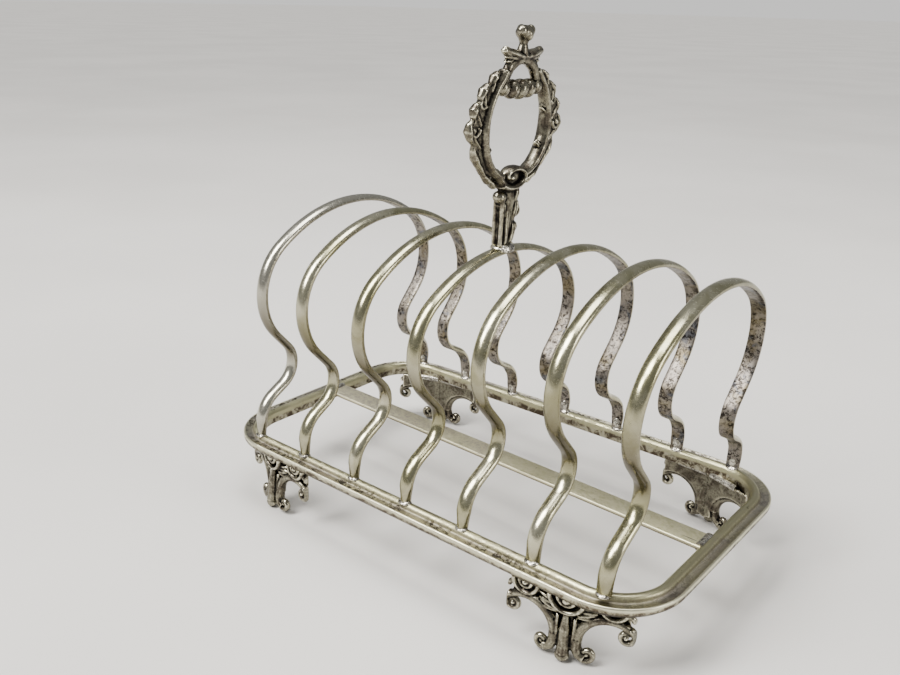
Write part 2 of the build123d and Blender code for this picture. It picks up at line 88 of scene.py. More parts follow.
class Recipe:
    """A node material being put together, with short ways to add the nodes it needs."""

    def __init__(self, name: str) -> None:
        """Starts an empty finish.

        Args:
            name: The material's name.
        """
        self.material = bpy.data.materials.new(name)
        self.material.use_nodes = True
        self.nodes = self.material.node_tree.nodes
        self.shader = self.nodes["Principled BSDF"]
        self.place = self.node("TexCoord", "Object", {})

    def feed(self, node: bpy.types.Node, values: Inputs) -> None:
        """Links each named input of a node to a socket, or sets its plain value."""
        for name, value in values.items():
            if isinstance(value, Socket):
                self.material.node_tree.links.new(value, node.inputs[name])
            else:
                node.inputs[name].default_value = value

    def node(self, kind: str, result: str | int, values: Inputs, **settings: str) -> Socket:
        """Adds a shader node.

        Args:
            kind: Its type, without the prefix that all have.
            result: Which of its outputs is wanted.
            values: What its inputs get.
            settings: Its own settings.

        Returns:
            The output.
        """
        node = self.nodes.new("ShaderNode" + kind)
        for name, value in settings.items():
            setattr(node, name, value)
        self.feed(node, values)
        return node.outputs[result]

    def stretched(self, scale: Point, turn: Point = (0.0, 0.0, 0.0)) -> Socket:
        """Object coordinates scaled and turned, in degrees, for a pattern with a direction."""
        angles = tuple(radians(angle) for angle in turn)
        values = {"Vector": self.place, "Scale": scale, "Rotation": angles}
        return self.node("Mapping", "Vector", values)

    def noise(
        self,
        size_mm: float,
        detail: float = 4.0,
        rough: float = 0.55,
        warp: float = 0.0,
        vector: Socket | None = None,
    ) -> Socket:
        """Clouded noise about 0.5.

        Args:
            size_mm: Rough size of one cloud.
            detail: Octaves.
            rough: Weight of the finer octaves.
            warp: Distortion.
            vector: Coordinates, or the piece's own if left out.

        Returns:
            The noise.
        """
        values = {"Vector": vector or self.place, "Scale": 1.0 / (size_mm * MM)}
        values |= {"Detail": detail, "Roughness": rough, "Distortion": warp}
        return self.node("TexNoise", "Fac", values)

    def cells(self, size_mm: float) -> Socket:
        """Distance to the middle of the nearest of many scattered cells, in cells."""
        values = {"Vector": self.place, "Scale": 1.0 / (size_mm * MM)}
        return self.node("TexVoronoi", "Distance", values)

    def step(self, value: object, low: float, high: float, out: Span = (0.0, 1.0)) -> Socket:
        """A smooth step of a value.

        Args:
            value: What is stepped.
            low: Where the step starts.
            high: Where it ends.
            out: Results before and after it.

        Returns:
            The stepped value.
        """
        values = {"Value": value, "From Min": low, "From Max": high}
        values |= {"To Min": out[0], "To Max": out[1]}
        return self.node("MapRange", "Result", values, interpolation_type="SMOOTHSTEP")

    def patches(
        self, noise: tuple[float, ...], low: float, high: float, most: float = 1.0
    ) -> Socket:
        """Soft-edged patches where a noise is high, up to a share."""
        return self.step(self.noise(*noise), low, high, (0.0, most))

    def ragged(self, value: Socket, noise: Socket, reach: float) -> Socket:
        """A value moved up and down by a noise, as far as a reach."""
        return self.reckon("ADD", value, self.step(noise, 0.3, 0.7, (-reach, reach)))

    def reckon(self, operation: str, first: object, second: object) -> Socket:
        """Arithmetic on two values."""
        return self.node("Math", "Value", {0: first, 1: second}, operation=operation)

    def blend(self, share: object, under: object, over: object) -> Socket:
        """One colour over another by a share."""
        tones = [(*tone, 1.0) if isinstance(tone, tuple) else tone for tone in (under, over)]
        return self.node("Mix", 2, {0: share, 6: tones[0], 7: tones[1]}, data_type="RGBA")

    def along(self) -> Socket:
        """Place along the rack, in metres from its middle."""
        return self.node("SeparateXYZ", "X", {"Vector": self.place})

    def mark(self, mark: Mark) -> Socket:
        """A value kept on the mesh."""
        return self.node("Attribute", "Fac", {}, attribute_name=mark.value)

    def facing(self, low: float, high: float, most: float) -> Socket:
        """A share that falls from a most, where a face looks down, to 0 where it looks up."""
        normal = self.node("NewGeometry", "Normal", {})
        rise = self.node("SeparateXYZ", "Z", {"Vector": normal})
        return self.step(rise, low, high, (most, 0.0))

    def bump(
        self, height: object, depth_mm: float, strength: float, under: Socket | None = None
    ) -> Socket:
        """Relief from a height.

        Args:
            height: Height, 0 to 1.
            depth_mm: Depth that a height of 1 stands for.
            strength: Share of it that shows.
            under: Normal of a coarser relief.

        Returns:
            The bent normal.
        """
        values = {"Height": height, "Distance": depth_mm * MM, "Strength": strength}
        if under is not None:
            values["Normal"] = under
        return self.node("Bump", "Normal", values)

    def done(self, colour: object, roughness: object, normal: object) -> Finish:
        """Closes the finish as bare metal.

        Args:
            colour: Base colour.
            roughness: Roughness.
            normal: Bent normal.

        Returns:
            The material.
        """
        values = {"Base Color": colour, "Roughness": roughness, "Normal": normal}
        self.feed(self.shader, {"Metallic": 1.0, **values})
        return self.material


@dataclass(frozen=True)
class HoopPlate:
    """Silver plate on the bent wire: rubbed yellow-green outside, mottled dark inside."""

    bright: Colour = (0.66, 0.64, 0.50)
    silver: Colour = (0.64, 0.625, 0.57)
    warm: Colour = (0.43, 0.415, 0.27)
    brown_tarnish_and_edge_shade: Colour = (0.20, 0.17, 0.11)
    shade: Colour = (0.10, 0.085, 0.06)
    inner_grey: Colour = (0.31, 0.285, 0.255)
    blue: Colour = (0.10, 0.12, 0.16)
    oxide: Colour = (0.022, 0.019, 0.018)

    def make(self) -> Finish:
        """Builds the finish."""
        mix = Recipe("hoop_plate_worn")
        flecks = mix.noise(1.1, 6, 0.7, 0.8)
        grain = mix.noise(0.35, 3, 0.6)
        outer = mix.blend(mix.patches((16, 5, 0.6, 0.6), 0.36, 0.66), self.warm, self.bright)
        outer = mix.blend(mix.patches((5, 6, 0.72, 1.2), 0.60, 0.76, 0.35), outer, self.brown_tarnish_and_edge_shade)
        left_end = mix.step(mix.along(), -0.060, -0.052, (0.7, 0.0))
        outer = mix.blend(left_end, outer, self.silver)
        # Painted shade: the outside is darkened where its faces look down, standing in for a dark
        # reflection from below.
        outer = mix.blend(mix.facing(-0.7, 0.55, 0.92), outer, self.shade)
        stains = mix.step(mix.cells(21), 0.02, 0.11, (0.75, 0.0))
        stains = mix.reckon("MULTIPLY", stains, mix.step(flecks, 0.42, 0.56))
        outer = mix.blend(stains, outer, self.oxide)
        inner = self.inner_grey
        for noise, low, high, most, tone in (
            ((8, 4, 0.6, 0.5), 0.44, 0.66, 0.8, self.brown_tarnish_and_edge_shade),
            ((5, 5, 0.6, 0.8), 0.54, 0.64, 0.6, self.blue),
            ((1.3, 7, 0.76, 0.9), 0.47, 0.58, 0.9, self.oxide),
            ((6, 4, 0.55), 0.55, 0.66, 0.75, self.inner_grey),
        ):
            inner = mix.blend(mix.patches(noise, low, high, most), inner, tone)
        creep = mix.ragged(mix.mark(Mark.ROUND), flecks, 0.16)
        colour = mix.blend(mix.step(creep, 0.28, 0.46), inner, outer)
        # Painted shade: a dark brown line where the dome meets the wire's side, standing in for a
        # dark reflection in that crease.
        off_shaded_edge = mix.reckon("ABSOLUTE", mix.reckon("SUBTRACT", creep, 0.56), 0.0)
        colour = mix.blend(mix.step(off_shaded_edge, 0.0, 0.09, (0.55, 0.0)), colour, self.brown_tarnish_and_edge_shade)
        shine = mix.step(creep, 0.25, 0.5, (0.40, 0.21))
        shine = mix.reckon("ADD", shine, mix.step(flecks, 0.3, 0.75, (-0.04, 0.09)))
        relief = mix.bump(grain, 0.008, 0.5, mix.bump(flecks, 0.02, 0.4))
        scratch = mix.noise(0.25, 2, 0.5, 0.0, mix.stretched((1.0, 0.06, 0.06), (12, 0, 0)))
        return mix.done(colour, shine, mix.bump(scratch, 0.006, 0.5, relief))


@dataclass(frozen=True)
class RailPlate:
    """Rail plate: a rubbed yellow ridge, a lip painted bright as a highlight, a pitted hollow
    between.
    """

    ridge: Colour = (0.50, 0.485, 0.33)
    lip: Colour = (0.74, 0.72, 0.56)
    hollow: Colour = (0.52, 0.50, 0.39)
    pink: Colour = (0.44, 0.41, 0.37)
    grime_and_painted_shade: Colour = (0.10, 0.08, 0.06)
    oxide: Colour = (0.030, 0.025, 0.022)

    def make(self) -> Finish:
        """Builds the finish."""
        mix = Recipe("rail_plate_worn")
        flecks = mix.noise(0.9, 6, 0.72, 0.9)
        clouds = mix.noise(14, 5, 0.6, 0.5)
        across = mix.ragged(mix.mark(Mark.ACROSS), flecks, 0.22)
        hollow = mix.blend(mix.step(clouds, 0.4, 0.64), self.hollow, self.pink)
        groups = mix.step(mix.noise(11, 3, 0.5), 0.40, 0.52, (0.25, 1.0))
        right_end = mix.step(mix.along(), 0.04, 0.075, (0.88, 0.3))
        pits = mix.reckon("MULTIPLY", mix.patches((2.1, 7, 0.75, 1.1), 0.48, 0.54), groups)
        pits = mix.reckon("MULTIPLY", pits, right_end)
        hollow = mix.blend(pits, hollow, self.oxide)
        ridge = mix.blend(mix.patches((6, 6, 0.7, 1.0), 0.5, 0.72, 0.35), self.ridge, self.pink)
        ridge = mix.blend(mix.patches((2.0, 6, 0.75), 0.60, 0.68, 0.6), ridge, self.grime_and_painted_shade)
        # Painted highlight: the lip's bead at the outer edge is painted a pale bright yellow all
        # round.
        colour = mix.blend(mix.step(across, 0.55, 0.8), self.lip, hollow)
        # Painted shade: a dark band in the groove between the hollow and the ridge.
        groove = mix.step(across, 3.6, 4.0, (1.0, 0.0))
        groove = mix.reckon("MULTIPLY", mix.step(across, 2.8, 3.1), groove)
        colour = mix.blend(mix.step(across, 3.2, 3.9), colour, ridge)
        colour = mix.blend(mix.reckon("MULTIPLY", groove, 0.3), colour, self.grime_and_painted_shade)
        # Painted shade: from about 2 to 3 mm below the top, the lip's outer face and the underside
        # turn dark, broken by patches of the hollow's tone.
        depth = mix.ragged(mix.mark(Mark.DEPTH), clouds, 0.5)
        low = mix.blend(mix.patches((3.2, 6, 0.7, 0.8), 0.42, 0.6), self.grime_and_painted_shade, self.hollow)
        colour = mix.blend(mix.step(depth, 1.9, 2.9), colour, low)
        # Painted shade: faces that look down are darkened.
        colour = mix.blend(mix.facing(-0.6, 0.3, 0.6), colour, self.grime_and_painted_shade)
        shine = mix.step(mix.reckon("MAXIMUM", groove, pits), 0.0, 1.0, (0.33, 0.55))
        relief = mix.bump(mix.reckon("SUBTRACT", 1.0, pits), 0.05, 0.55)
        relief = mix.bump(flecks, 0.03, 0.5, relief)
        return mix.done(colour, shine, mix.bump(mix.noise(0.3, 3, 0.6), 0.008, 0.6, relief))


@dataclass(frozen=True)
class StrapPlate:
    """Plate on the strap, worn through to yellow metal at one end, with long scratches."""

    worn: Colour = (0.68, 0.67, 0.42)
    grey: Colour = (0.58, 0.53, 0.45)
    bright: Colour = (0.78, 0.75, 0.56)
    grime_and_painted_shade: Colour = (0.12, 0.09, 0.07)
    oxide: Colour = (0.04, 0.033, 0.028)

    def make(self) -> Finish:
        """Builds the finish."""
        mix = Recipe("strap_plate_worn")
        flecks = mix.noise(1.0, 6, 0.72, 0.9)
        drift = mix.ragged(mix.along(), mix.noise(18, 4, 0.6), 0.03)
        colour = mix.blend(mix.step(drift, -0.045, 0.03), self.grey, self.worn)
        colour = mix.blend(mix.patches((7, 5, 0.7, 0.8), 0.55, 0.72, 0.5), colour, self.grime_and_painted_shade)
        rub = mix.ragged(mix.mark(Mark.ACROSS), flecks, 0.3)
        colour = mix.blend(mix.step(rub, 3.5, 3.95, (0.0, 0.9)), colour, self.bright)
        scratch = mix.noise(0.8, 3, 0.6, 0.3, mix.stretched((0.05, 1.0, 1.0), (0, 0, 4)))
        cuts = mix.step(scratch, 0.66, 0.72, (0.0, 0.8))
        marks = mix.reckon("MAXIMUM", cuts, mix.patches((1.5, 6, 0.75, 1.0), 0.64, 0.71, 0.75))
        colour = mix.blend(marks, colour, self.oxide)
        # Painted shade: the strap's sides and underside, from about 0.5 mm below its top, are
        # darkened.
        sides = mix.step(mix.mark(Mark.DEPTH), 0.5, 0.9, (0.0, 0.75))
        colour = mix.blend(sides, colour, self.grime_and_painted_shade)
        shine = mix.step(flecks, 0.3, 0.75, (0.38, 0.56))
        relief = mix.bump(mix.reckon("SUBTRACT", 1.0, cuts), 0.02, 0.5)
        relief = mix.bump(flecks, 0.03, 0.5, relief)
        brush = mix.noise(0.2, 2, 0.5, 0.0, mix.stretched((0.04, 1.0, 1.0)))
        return mix.done(colour, shine, mix.bump(brush, 0.006, 0.6, relief))


@dataclass(frozen=True)
class CastSilver:
    """Cast silver plate: high points rubbed bright, hollows filled with black oxide."""

    crest: Colour = (0.80, 0.77, 0.62)
    body: Colour = (0.30, 0.285, 0.225)
    dull_tone_and_painted_shade: Colour = (0.12, 0.105, 0.085)
    oxide: Colour = (0.012, 0.011, 0.011)

    def make(self) -> Finish:
        """Builds the finish."""
        mix = Recipe("cast_silver_oxidised")
        flecks = mix.noise(0.7, 6, 0.7, 0.8)
        rise = mix.ragged(mix.mark(Mark.RISE), flecks, 0.025)
        body = mix.blend(mix.patches((6, 5, 0.65, 0.8), 0.4, 0.62), self.body, self.dull_tone_and_painted_shade)
        colour = mix.blend(mix.step(rise, -0.055, 0.025), self.oxide, body)
        colour = mix.blend(mix.step(rise, 0.025, 0.13), colour, self.crest)
        # Painted shade: faces that look down are darkened towards the dull tone.
        colour = mix.blend(mix.facing(-0.9, -0.1, 0.55), colour, self.dull_tone_and_painted_shade)
        colour = mix.blend(mix.patches((1.0, 6, 0.78, 1.0), 0.62, 0.70, 0.6), colour, self.oxide)
        shine = mix.step(rise, -0.05, 0.08, (0.46, 0.20))
        relief = mix.bump(flecks, 0.05, 0.5)
        return mix.done(colour, shine, mix.bump(mix.noise(0.25, 3, 0.6), 0.012, 0.6, relief))


@dataclass(frozen=True)
class Solder:
    """Bright soft solder with grey bloom and dark flux round its edge."""

    bright: Colour = (0.80, 0.78, 0.70)
    bloom: Colour = (0.36, 0.34, 0.31)
    flux: Colour = (0.04, 0.035, 0.03)

    def make(self) -> Finish:
        """Builds the finish."""
        mix = Recipe("solder_bright")
        flecks = mix.noise(0.6, 5, 0.65, 0.8)
        colour = mix.blend(mix.patches((2.0, 5, 0.6, 0.5), 0.42, 0.64), self.bright, self.bloom)
        colour = mix.blend(mix.step(flecks, 0.48, 0.60, (0.0, 0.85)), colour, self.flux)
        shine = mix.step(flecks, 0.3, 0.7, (0.18, 0.42))
        return mix.done(colour, shine, mix.bump(mix.noise(0.9, 4, 0.6), 0.12, 0.6))


# ---- bench ---------------------------------------------------------------------------------


class Bench:
    """Modelling steps shared by every sub-assembly."""

    @staticmethod
    def clear() -> None:
        """Leaves edit mode and deselects everything."""
        if bpy.context.object and bpy.context.object.mode != "OBJECT":
            bpy.ops.object.mode_set(mode="OBJECT")
        bpy.ops.object.select_all(action="DESELECT")

    @staticmethod
    def take(piece: Piece) -> None:
        """Makes one piece the only selected one."""
        Bench.clear()
        piece.select_set(True)
        bpy.context.view_layer.objects.active = piece

    @staticmethod
    def edit(piece: Piece) -> None:
        """Opens a piece with all of it selected."""
        Bench.take(piece)
        bpy.ops.object.mode_set(mode="EDIT")
        bpy.ops.mesh.select_all(action="SELECT")

    @staticmethod
    def fix(piece: Piece) -> None:
        """Puts a piece's place, turn and scale into its mesh."""
        Bench.take(piece)
        bpy.ops.object.transform_apply(location=True, rotation=True, scale=True)

    @staticmethod
    def section(
        name: str,
        corners: Sequence[Point],
        mark: Mark | None = None,
        values: Sequence[float] = (),
    ) -> Piece:
        """Draws a closed wire section corner by corner and leaves it open and selected.

        Args:
            name: The piece's name.
            corners: Corners in millimetres.
            mark: What each corner's value means.
            values: A value for each corner, which sweeps carry along.

        Returns:
            The piece, in edit mode.
        """
        Bench.clear()
        points = [Vector(corner) * MM for corner in corners]
        bpy.ops.mesh.primitive_plane_add(size=MM, location=points[0])
        piece = bpy.context.object
        piece.name = piece.data.name = name
        Bench.fix(piece)
        Bench.edit(piece)
        bpy.ops.mesh.merge(type="CENTER")
        bpy.ops.mesh.select_all(action="SELECT")
        for start, end in zip(points, points[1:]):
            bpy.ops.mesh.extrude_vertices_move(TRANSFORM_OT_translate={"value": end - start})
        bpy.ops.object.mode_set(mode="OBJECT")
        gaps = [[(point - vertex.co).length for point in points] for vertex in piece.data.vertices]
        order = [row.index(min(row)) for row in gaps]
        if mark is not None:
            Bench.keep(piece, mark, np.array([values[corner] for corner in order]))
        bpy.ops.object.mode_set(mode="EDIT")
        mesh = bmesh.from_edit_mesh(piece.data)
        mesh.verts.ensure_lookup_table()
        for vertex in mesh.verts:
            vertex.select_set(order[vertex.index] in (0, len(points) - 1))
        mesh.select_flush(True)
        bmesh.update_edit_mesh(piece.data)
        bpy.ops.mesh.edge_face_add()
        bpy.ops.mesh.select_all(action="SELECT")
        return piece

    @staticmethod
    def run(step: Vector) -> None:
        """Draws the selected section straight on by a step in millimetres."""
        bpy.ops.mesh.extrude_edges_move(TRANSFORM_OT_translate={"value": step * MM})

    @staticmethod
    def swing(centre: Vector, axis: Vector, angle: float, steps: int) -> None:
        """Turns the selected section about an axis through a centre in millimetres, drawing a bend.

        Args:
            centre: A point on the axis.
            axis: The axis.
            angle: Right-handed turn in degrees.
            steps: Facets along the bend.
        """
        bpy.ops.mesh.spin(steps=steps, angle=-radians(angle), center=centre * MM, axis=axis)

    @staticmethod
    def close(piece: Piece, gap_mm: float = 0.01, caps: bool = False) -> None:
        """Joins the seams of a drawn shell and turns its faces outward.

        Args:
            piece: The piece in edit mode.
            gap_mm: Points nearer than this become one.
            caps: Whether open ends are filled.
        """
        bpy.ops.mesh.select_all(action="SELECT")
        bpy.ops.mesh.remove_doubles(threshold=gap_mm * MM)
        if caps:
            bpy.ops.mesh.select_all(action="DESELECT")
            bpy.ops.mesh.select_non_manifold(extend=False)
            bpy.ops.mesh.edge_face_add()
            bpy.ops.mesh.select_all(action="SELECT")
        bpy.ops.mesh.normals_make_consistent(inside=False)
        bpy.ops.object.mode_set(mode="OBJECT")

    @staticmethod
    def smooth(piece: Piece, angle: float = 38.0) -> None:
        """Shades a piece smooth but for its sharp edges."""
        Bench.take(piece)
        bpy.ops.object.shade_smooth_by_angle(angle=radians(angle))

    @staticmethod
    def place(piece: Piece, matrix: Matrix) -> None:
        """Moves a piece's mesh, keeping its faces outward when the move mirrors it."""
        piece.data.transform(matrix)
        if matrix.determinant() < 0:
            piece.data.flip_normals()
        piece.data.update()

    @staticmethod
    def copy(piece: Piece, name: str, matrix: Matrix) -> Piece:
        """Makes a copy with its own mesh at another place.

        Args:
            piece: The piece copied.
            name: The copy's name.
            matrix: Where its mesh goes.

        Returns:
            The copy.
        """
        twin = piece.copy()
        twin.data = piece.data.copy()
        twin.name = twin.data.name = name
        bpy.context.scene.collection.objects.link(twin)
        Bench.place(twin, matrix)
        return twin

    @staticmethod
    def join(parts: Sequence[Piece], name: str) -> Piece:
        """Joins parts into one named piece."""
        Bench.take(parts[0])
        for part in parts[1:]:
            part.select_set(True)
        bpy.ops.object.join()
        parts[0].name = parts[0].data.name = name
        return parts[0]

    @staticmethod
    def apply(piece: Piece, kind: str, **settings: object) -> None:
        """Adds a modifier, sets it and applies it."""
        Bench.take(piece)
        modifier = piece.modifiers.new(kind.lower(), kind)
        for key, value in settings.items():
            setattr(modifier, key, value)
        bpy.ops.object.modifier_apply(modifier=modifier.name)

    @staticmethod
    def points(piece: Piece) -> np.ndarray:
        """A piece's points as rows, in metres."""
        rows = np.empty(len(piece.data.vertices) * 3, np.float32)
        piece.data.vertices.foreach_get("co", rows)
        return rows.reshape(-1, 3)

    @staticmethod
    def keep(piece: Piece, mark: Mark, values: np.ndarray) -> None:
        """Keeps a value for each point of a piece."""
        kept = piece.data.attributes
        layer = kept.get(mark.value) or kept.new(mark.value, "FLOAT", "POINT")
        layer.data.foreach_set("value", values.astype(np.float32))

    @staticmethod
    def melt(piece: Piece, grain_mm: float, rounds: int) -> None:
        """Runs joined parts into one skin of a finest detail, softened by a few rounds."""
        Bench.apply(piece, "REMESH", mode="VOXEL", voxel_size=grain_mm * MM)
        Bench.apply(piece, "SMOOTH", factor=0.5, iterations=rounds)

    @staticmethod
    def cast(piece: Piece, grain_mm: float, rounds: int) -> None:
        """Fuses joined parts into one skin, as if poured, and marks its high and low points.

        Args:
            piece: The joined parts.
            grain_mm: Finest detail kept.
            rounds: Rounds of smoothing.
        """
        Bench.melt(piece, grain_mm, rounds)
        Bench.take(piece)
        bpy.ops.object.shade_smooth()
        worn = Bench.copy(piece, "worn_down", Matrix.Identity(4))
        Bench.apply(worn, "SMOOTH", factor=0.9, iterations=9)
        normals = np.empty(len(piece.data.vertices) * 3, np.float32)
        piece.data.vertices.foreach_get("normal", normals)
        gap = (Bench.points(piece) - Bench.points(worn)) * normals.reshape(-1, 3)
        Bench.keep(piece, Mark.RISE, gap.sum(axis=1) / MM)
        bpy.data.objects.remove(worn)

    @staticmethod
    def finish(piece: Piece, material: Finish, slot: Slot, *nodes: str) -> Piece:
        """Dresses a piece and hands it to the frame in place of the nodes it stands for.

        Args:
            piece: The piece.
            material: Its finish.
            slot: The record's slot; not used.
            nodes: The nodes it replaces.

        Returns:
            The piece.
        """
        piece.data.materials.clear()
        piece.data.materials.append(material)
        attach(piece, ROOT)
        if nodes:
            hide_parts(*nodes)
        LOG.info("%s: %d points", piece.name, len(piece.data.vertices))
        return piece


class Clay:
    """Shapes for castings, in a plan in millimetres: X along, Z up, Y toward the viewer."""

    def __init__(self) -> None:
        """Starts with no parts."""
        self.parts: list[Piece] = []

    def ball(self, at: Point, size: Point, lean: float = 0.0) -> Piece:
        """Adds a pressed ball.

        Args:
            at: Its middle.
            size: Half widths along X, Y and Z before it leans.
            lean: Lean in the plan, in degrees from Z toward X.

        Returns:
            The ball.
        """
        Bench.clear()
        turn = (0, radians(lean), 0)
        bpy.ops.mesh.primitive_uv_sphere_add(
            segments=14, ring_count=9, radius=MM, location=Vector(at) * MM, rotation=turn
        )
        part = bpy.context.object
        part.scale = size
        Bench.fix(part)
        self.parts.append(part)
        return part

    def leaf(self, root: Point, tip: Point, width: float, depth: float, rib: float = 0.5) -> None:
        """Adds a leaf: two full halves either side of a vein, narrowing to a rounded tip.

        Args:
            root: Where it grows from.
            tip: Where it ends.
            width: Width across the vein.
            depth: Thickness.
            rib: Width of the raised vein, or 0.
        """
        start, end = Vector(root), Vector(tip)
        reach = end - start
        lean = degrees(atan2(reach.x, reach.z))
        across = Vector((cos(radians(lean)), 0, -sin(radians(lean))))
        splay = degrees(atan2(width * 0.2, reach.length))
        for side in (-1, 1):
            middle = start.lerp(end, 0.5) + across * side * width * 0.24
            half = (width * 0.27, depth / 2, reach.length / 2)
            self.ball(middle, half, lean + side * splay)
        if rib > 0:
            raised = start.lerp(end, 0.6) + Vector((0, depth * 0.42, 0))
            self.stem([(start, rib), (raised, rib * 0.9), (end, rib * 0.5)])

    def stem(self, stations: Sequence[Station], flat: float = 1.0, sides: int = 10) -> None:
        """Adds a solid stem through a row of stations.

        Args:
            stations: Middle and radius at each station.
            flat: Depth of the section over its width.
            sides: Facets round it.
        """
        Bench.clear()
        middles = [Vector(station[0]) for station in stations]
        radii = [station[1] for station in stations]
        leans = []
        for before, after in zip([middles[0], *middles], [*middles[1:], middles[-1]]):
            leans.append(atan2(after.x - before.x, after.z - before.z))
        bpy.ops.mesh.primitive_circle_add(
            vertices=sides,
            radius=radii[0] * MM,
            fill_type="NGON",
            location=middles[0] * MM,
            rotation=(0, leans[0], 0),
        )
        part = bpy.context.object
        part.scale = (1, flat, 1)
        Bench.fix(part)
        Bench.edit(part)
        for index in range(1, len(middles)):
            here = middles[index] * MM
            step = here - middles[index - 1] * MM
            bpy.ops.mesh.extrude_region_move(TRANSFORM_OT_translate={"value": step})
            turn = (leans[index] - leans[index - 1] + pi) % tau - pi
            bpy.ops.transform.rotate(value=-turn, orient_axis="Y", center_override=here)
            ratio = radii[index] / radii[index - 1]
            bpy.ops.transform.resize(value=(ratio,) * 3, center_override=here)
        Bench.close(part)
        self.parts.append(part)

    def row(
        self, table: Table, flat: float = 1.0, sides: int = 10, side: int = 1, depth: int = 1
    ) -> None:
        """Adds a stem through rows of X, Y, Z and radius, turned over in X or Y by a sign."""
        stations = [((side * x, depth * y, z), radius) for x, y, z, radius in table]
        self.stem(stations, flat, sides)

    def curl(
        self,
        centre: Point,
        radius: Span,
        angle: Span,
        wire: Span,
        flat: float = 1.0,
        steps: int = 12,
        stretch: float = 1.0,
    ) -> None:
        """Adds a scroll that winds round a centre.

        Args:
            centre: The middle of the scroll.
            radius: Radius at its start and end.
            angle: Angle at its start and end, in degrees from X toward Z.
            wire: Half width at its start and end.
            flat: Depth of its section over its width.
            steps: Stations along it.
            stretch: Width of the scroll over its height.
        """
        stations = []
        for index in range(steps + 1):
            share = index / steps
            reach = radius[0] + (radius[1] - radius[0]) * share
            turn = radians(angle[0] + (angle[1] - angle[0]) * share)
            offset = Vector((reach * cos(turn) * stretch, 0, reach * sin(turn)))
            stations.append((Vector(centre) + offset, wire[0] + (wire[1] - wire[0]) * share))
        self.stem(stations, flat)

    def slab(self, outline: Sequence[Span], back: float, front: float) -> None:
        """Adds a flat plate.

        Args:
            outline: Its corners in the plan.
            back: Where its back is.
            front: Where its face is.
        """
        piece = Bench.section("slab", [(x, back, z) for x, z in outline])
        bpy.ops.mesh.edge_face_add()
        step = (0, (front - back) * MM, 0)
        bpy.ops.mesh.extrude_region_move(TRANSFORM_OT_translate={"value": step})
        Bench.close(piece)
        self.parts.append(piece)

    def gather(self, name: str) -> Piece:
        """Joins all the parts into one piece."""
        return Bench.join(self.parts, name)


# ---- sub-assemblies --------------------------------------------------------------------------


@dataclass
class Rail:
    """The oblong base: a moulded strip drawn round four corners."""

    length: float = 172.0
    width: float = 99.5
    corner: float = 21.7
    section_width: float = 6.6
    section_depth: float = 5.0
    corner_steps: int = 26

    def outline(self) -> list[Span]:
        """The strip's section: inward from the middle of the strip, and up from its top."""
        turns = np.linspace(0, pi, 13)
        ridge = [(1.72 + 1.56 * cos(turn), -1.6 + 1.56 * sin(turn)) for turn in turns]
        hollow = [(0.05, -1.74), (-0.2, -1.85), (-0.7, -1.9), (-1.2, -1.88), (-1.7, -1.8)]
        hollow += [(-2.1, -1.68), (-2.4, -1.52)]
        lip = [(-2.62, -1.34), (-2.85, -1.3), (-3.08, -1.4), (-3.24, -1.65), (-3.3, -2.0)]
        under = [(-3.3, -3.0), (-3.1, -3.5), (-2.6, -3.7), (-1.7, -4.9), (-1.3, -5.0)]
        return ridge + hollow + lip + under + [(2.9, -5.0), (3.28, -4.7)]

    def build(self, top: float, finish: Finish) -> Piece:
        """Draws the strip round.

        Args:
            top: Height of its top in millimetres.
            finish: Its finish.

        Returns:
            The rail.
        """
        half = self.section_width / 2
        reach_x, reach_y = self.length / 2 - self.corner, self.width / 2 - self.corner
        path_y = self.width / 2 - half
        corners = [(0.0, -path_y + inward, top + up) for inward, up in self.outline()]
        piece = Bench.section("rail_moulding", corners)
        rounds = ((1, 0, 1, -1), (0, 2, 1, 1), (-2, 0, -1, 1), (0, -2, -1, -1))
        for step_x, step_y, side_x, side_y in rounds:
            Bench.run(Vector((step_x * reach_x, step_y * reach_y, 0)))
            centre = Vector((side_x * reach_x, side_y * reach_y, 0))
            Bench.swing(centre, Vector((0, 0, 1)), 90, self.corner_steps)
        Bench.run(Vector((reach_x, 0, 0)))
        Bench.close(piece)
        rows = Bench.points(piece) / MM
        over = np.abs(rows[:, :2]) - np.array([reach_x, reach_y])
        outside = np.linalg.norm(np.maximum(over, 0), axis=1) + np.minimum(over.max(axis=1), 0)
        Bench.keep(piece, Mark.ACROSS, self.corner - outside)
        Bench.keep(piece, Mark.DEPTH, top - rows[:, 2])
        Bench.smooth(piece, 50)
        return Bench.finish(piece, finish, Slot.RAIL, "base_rail")


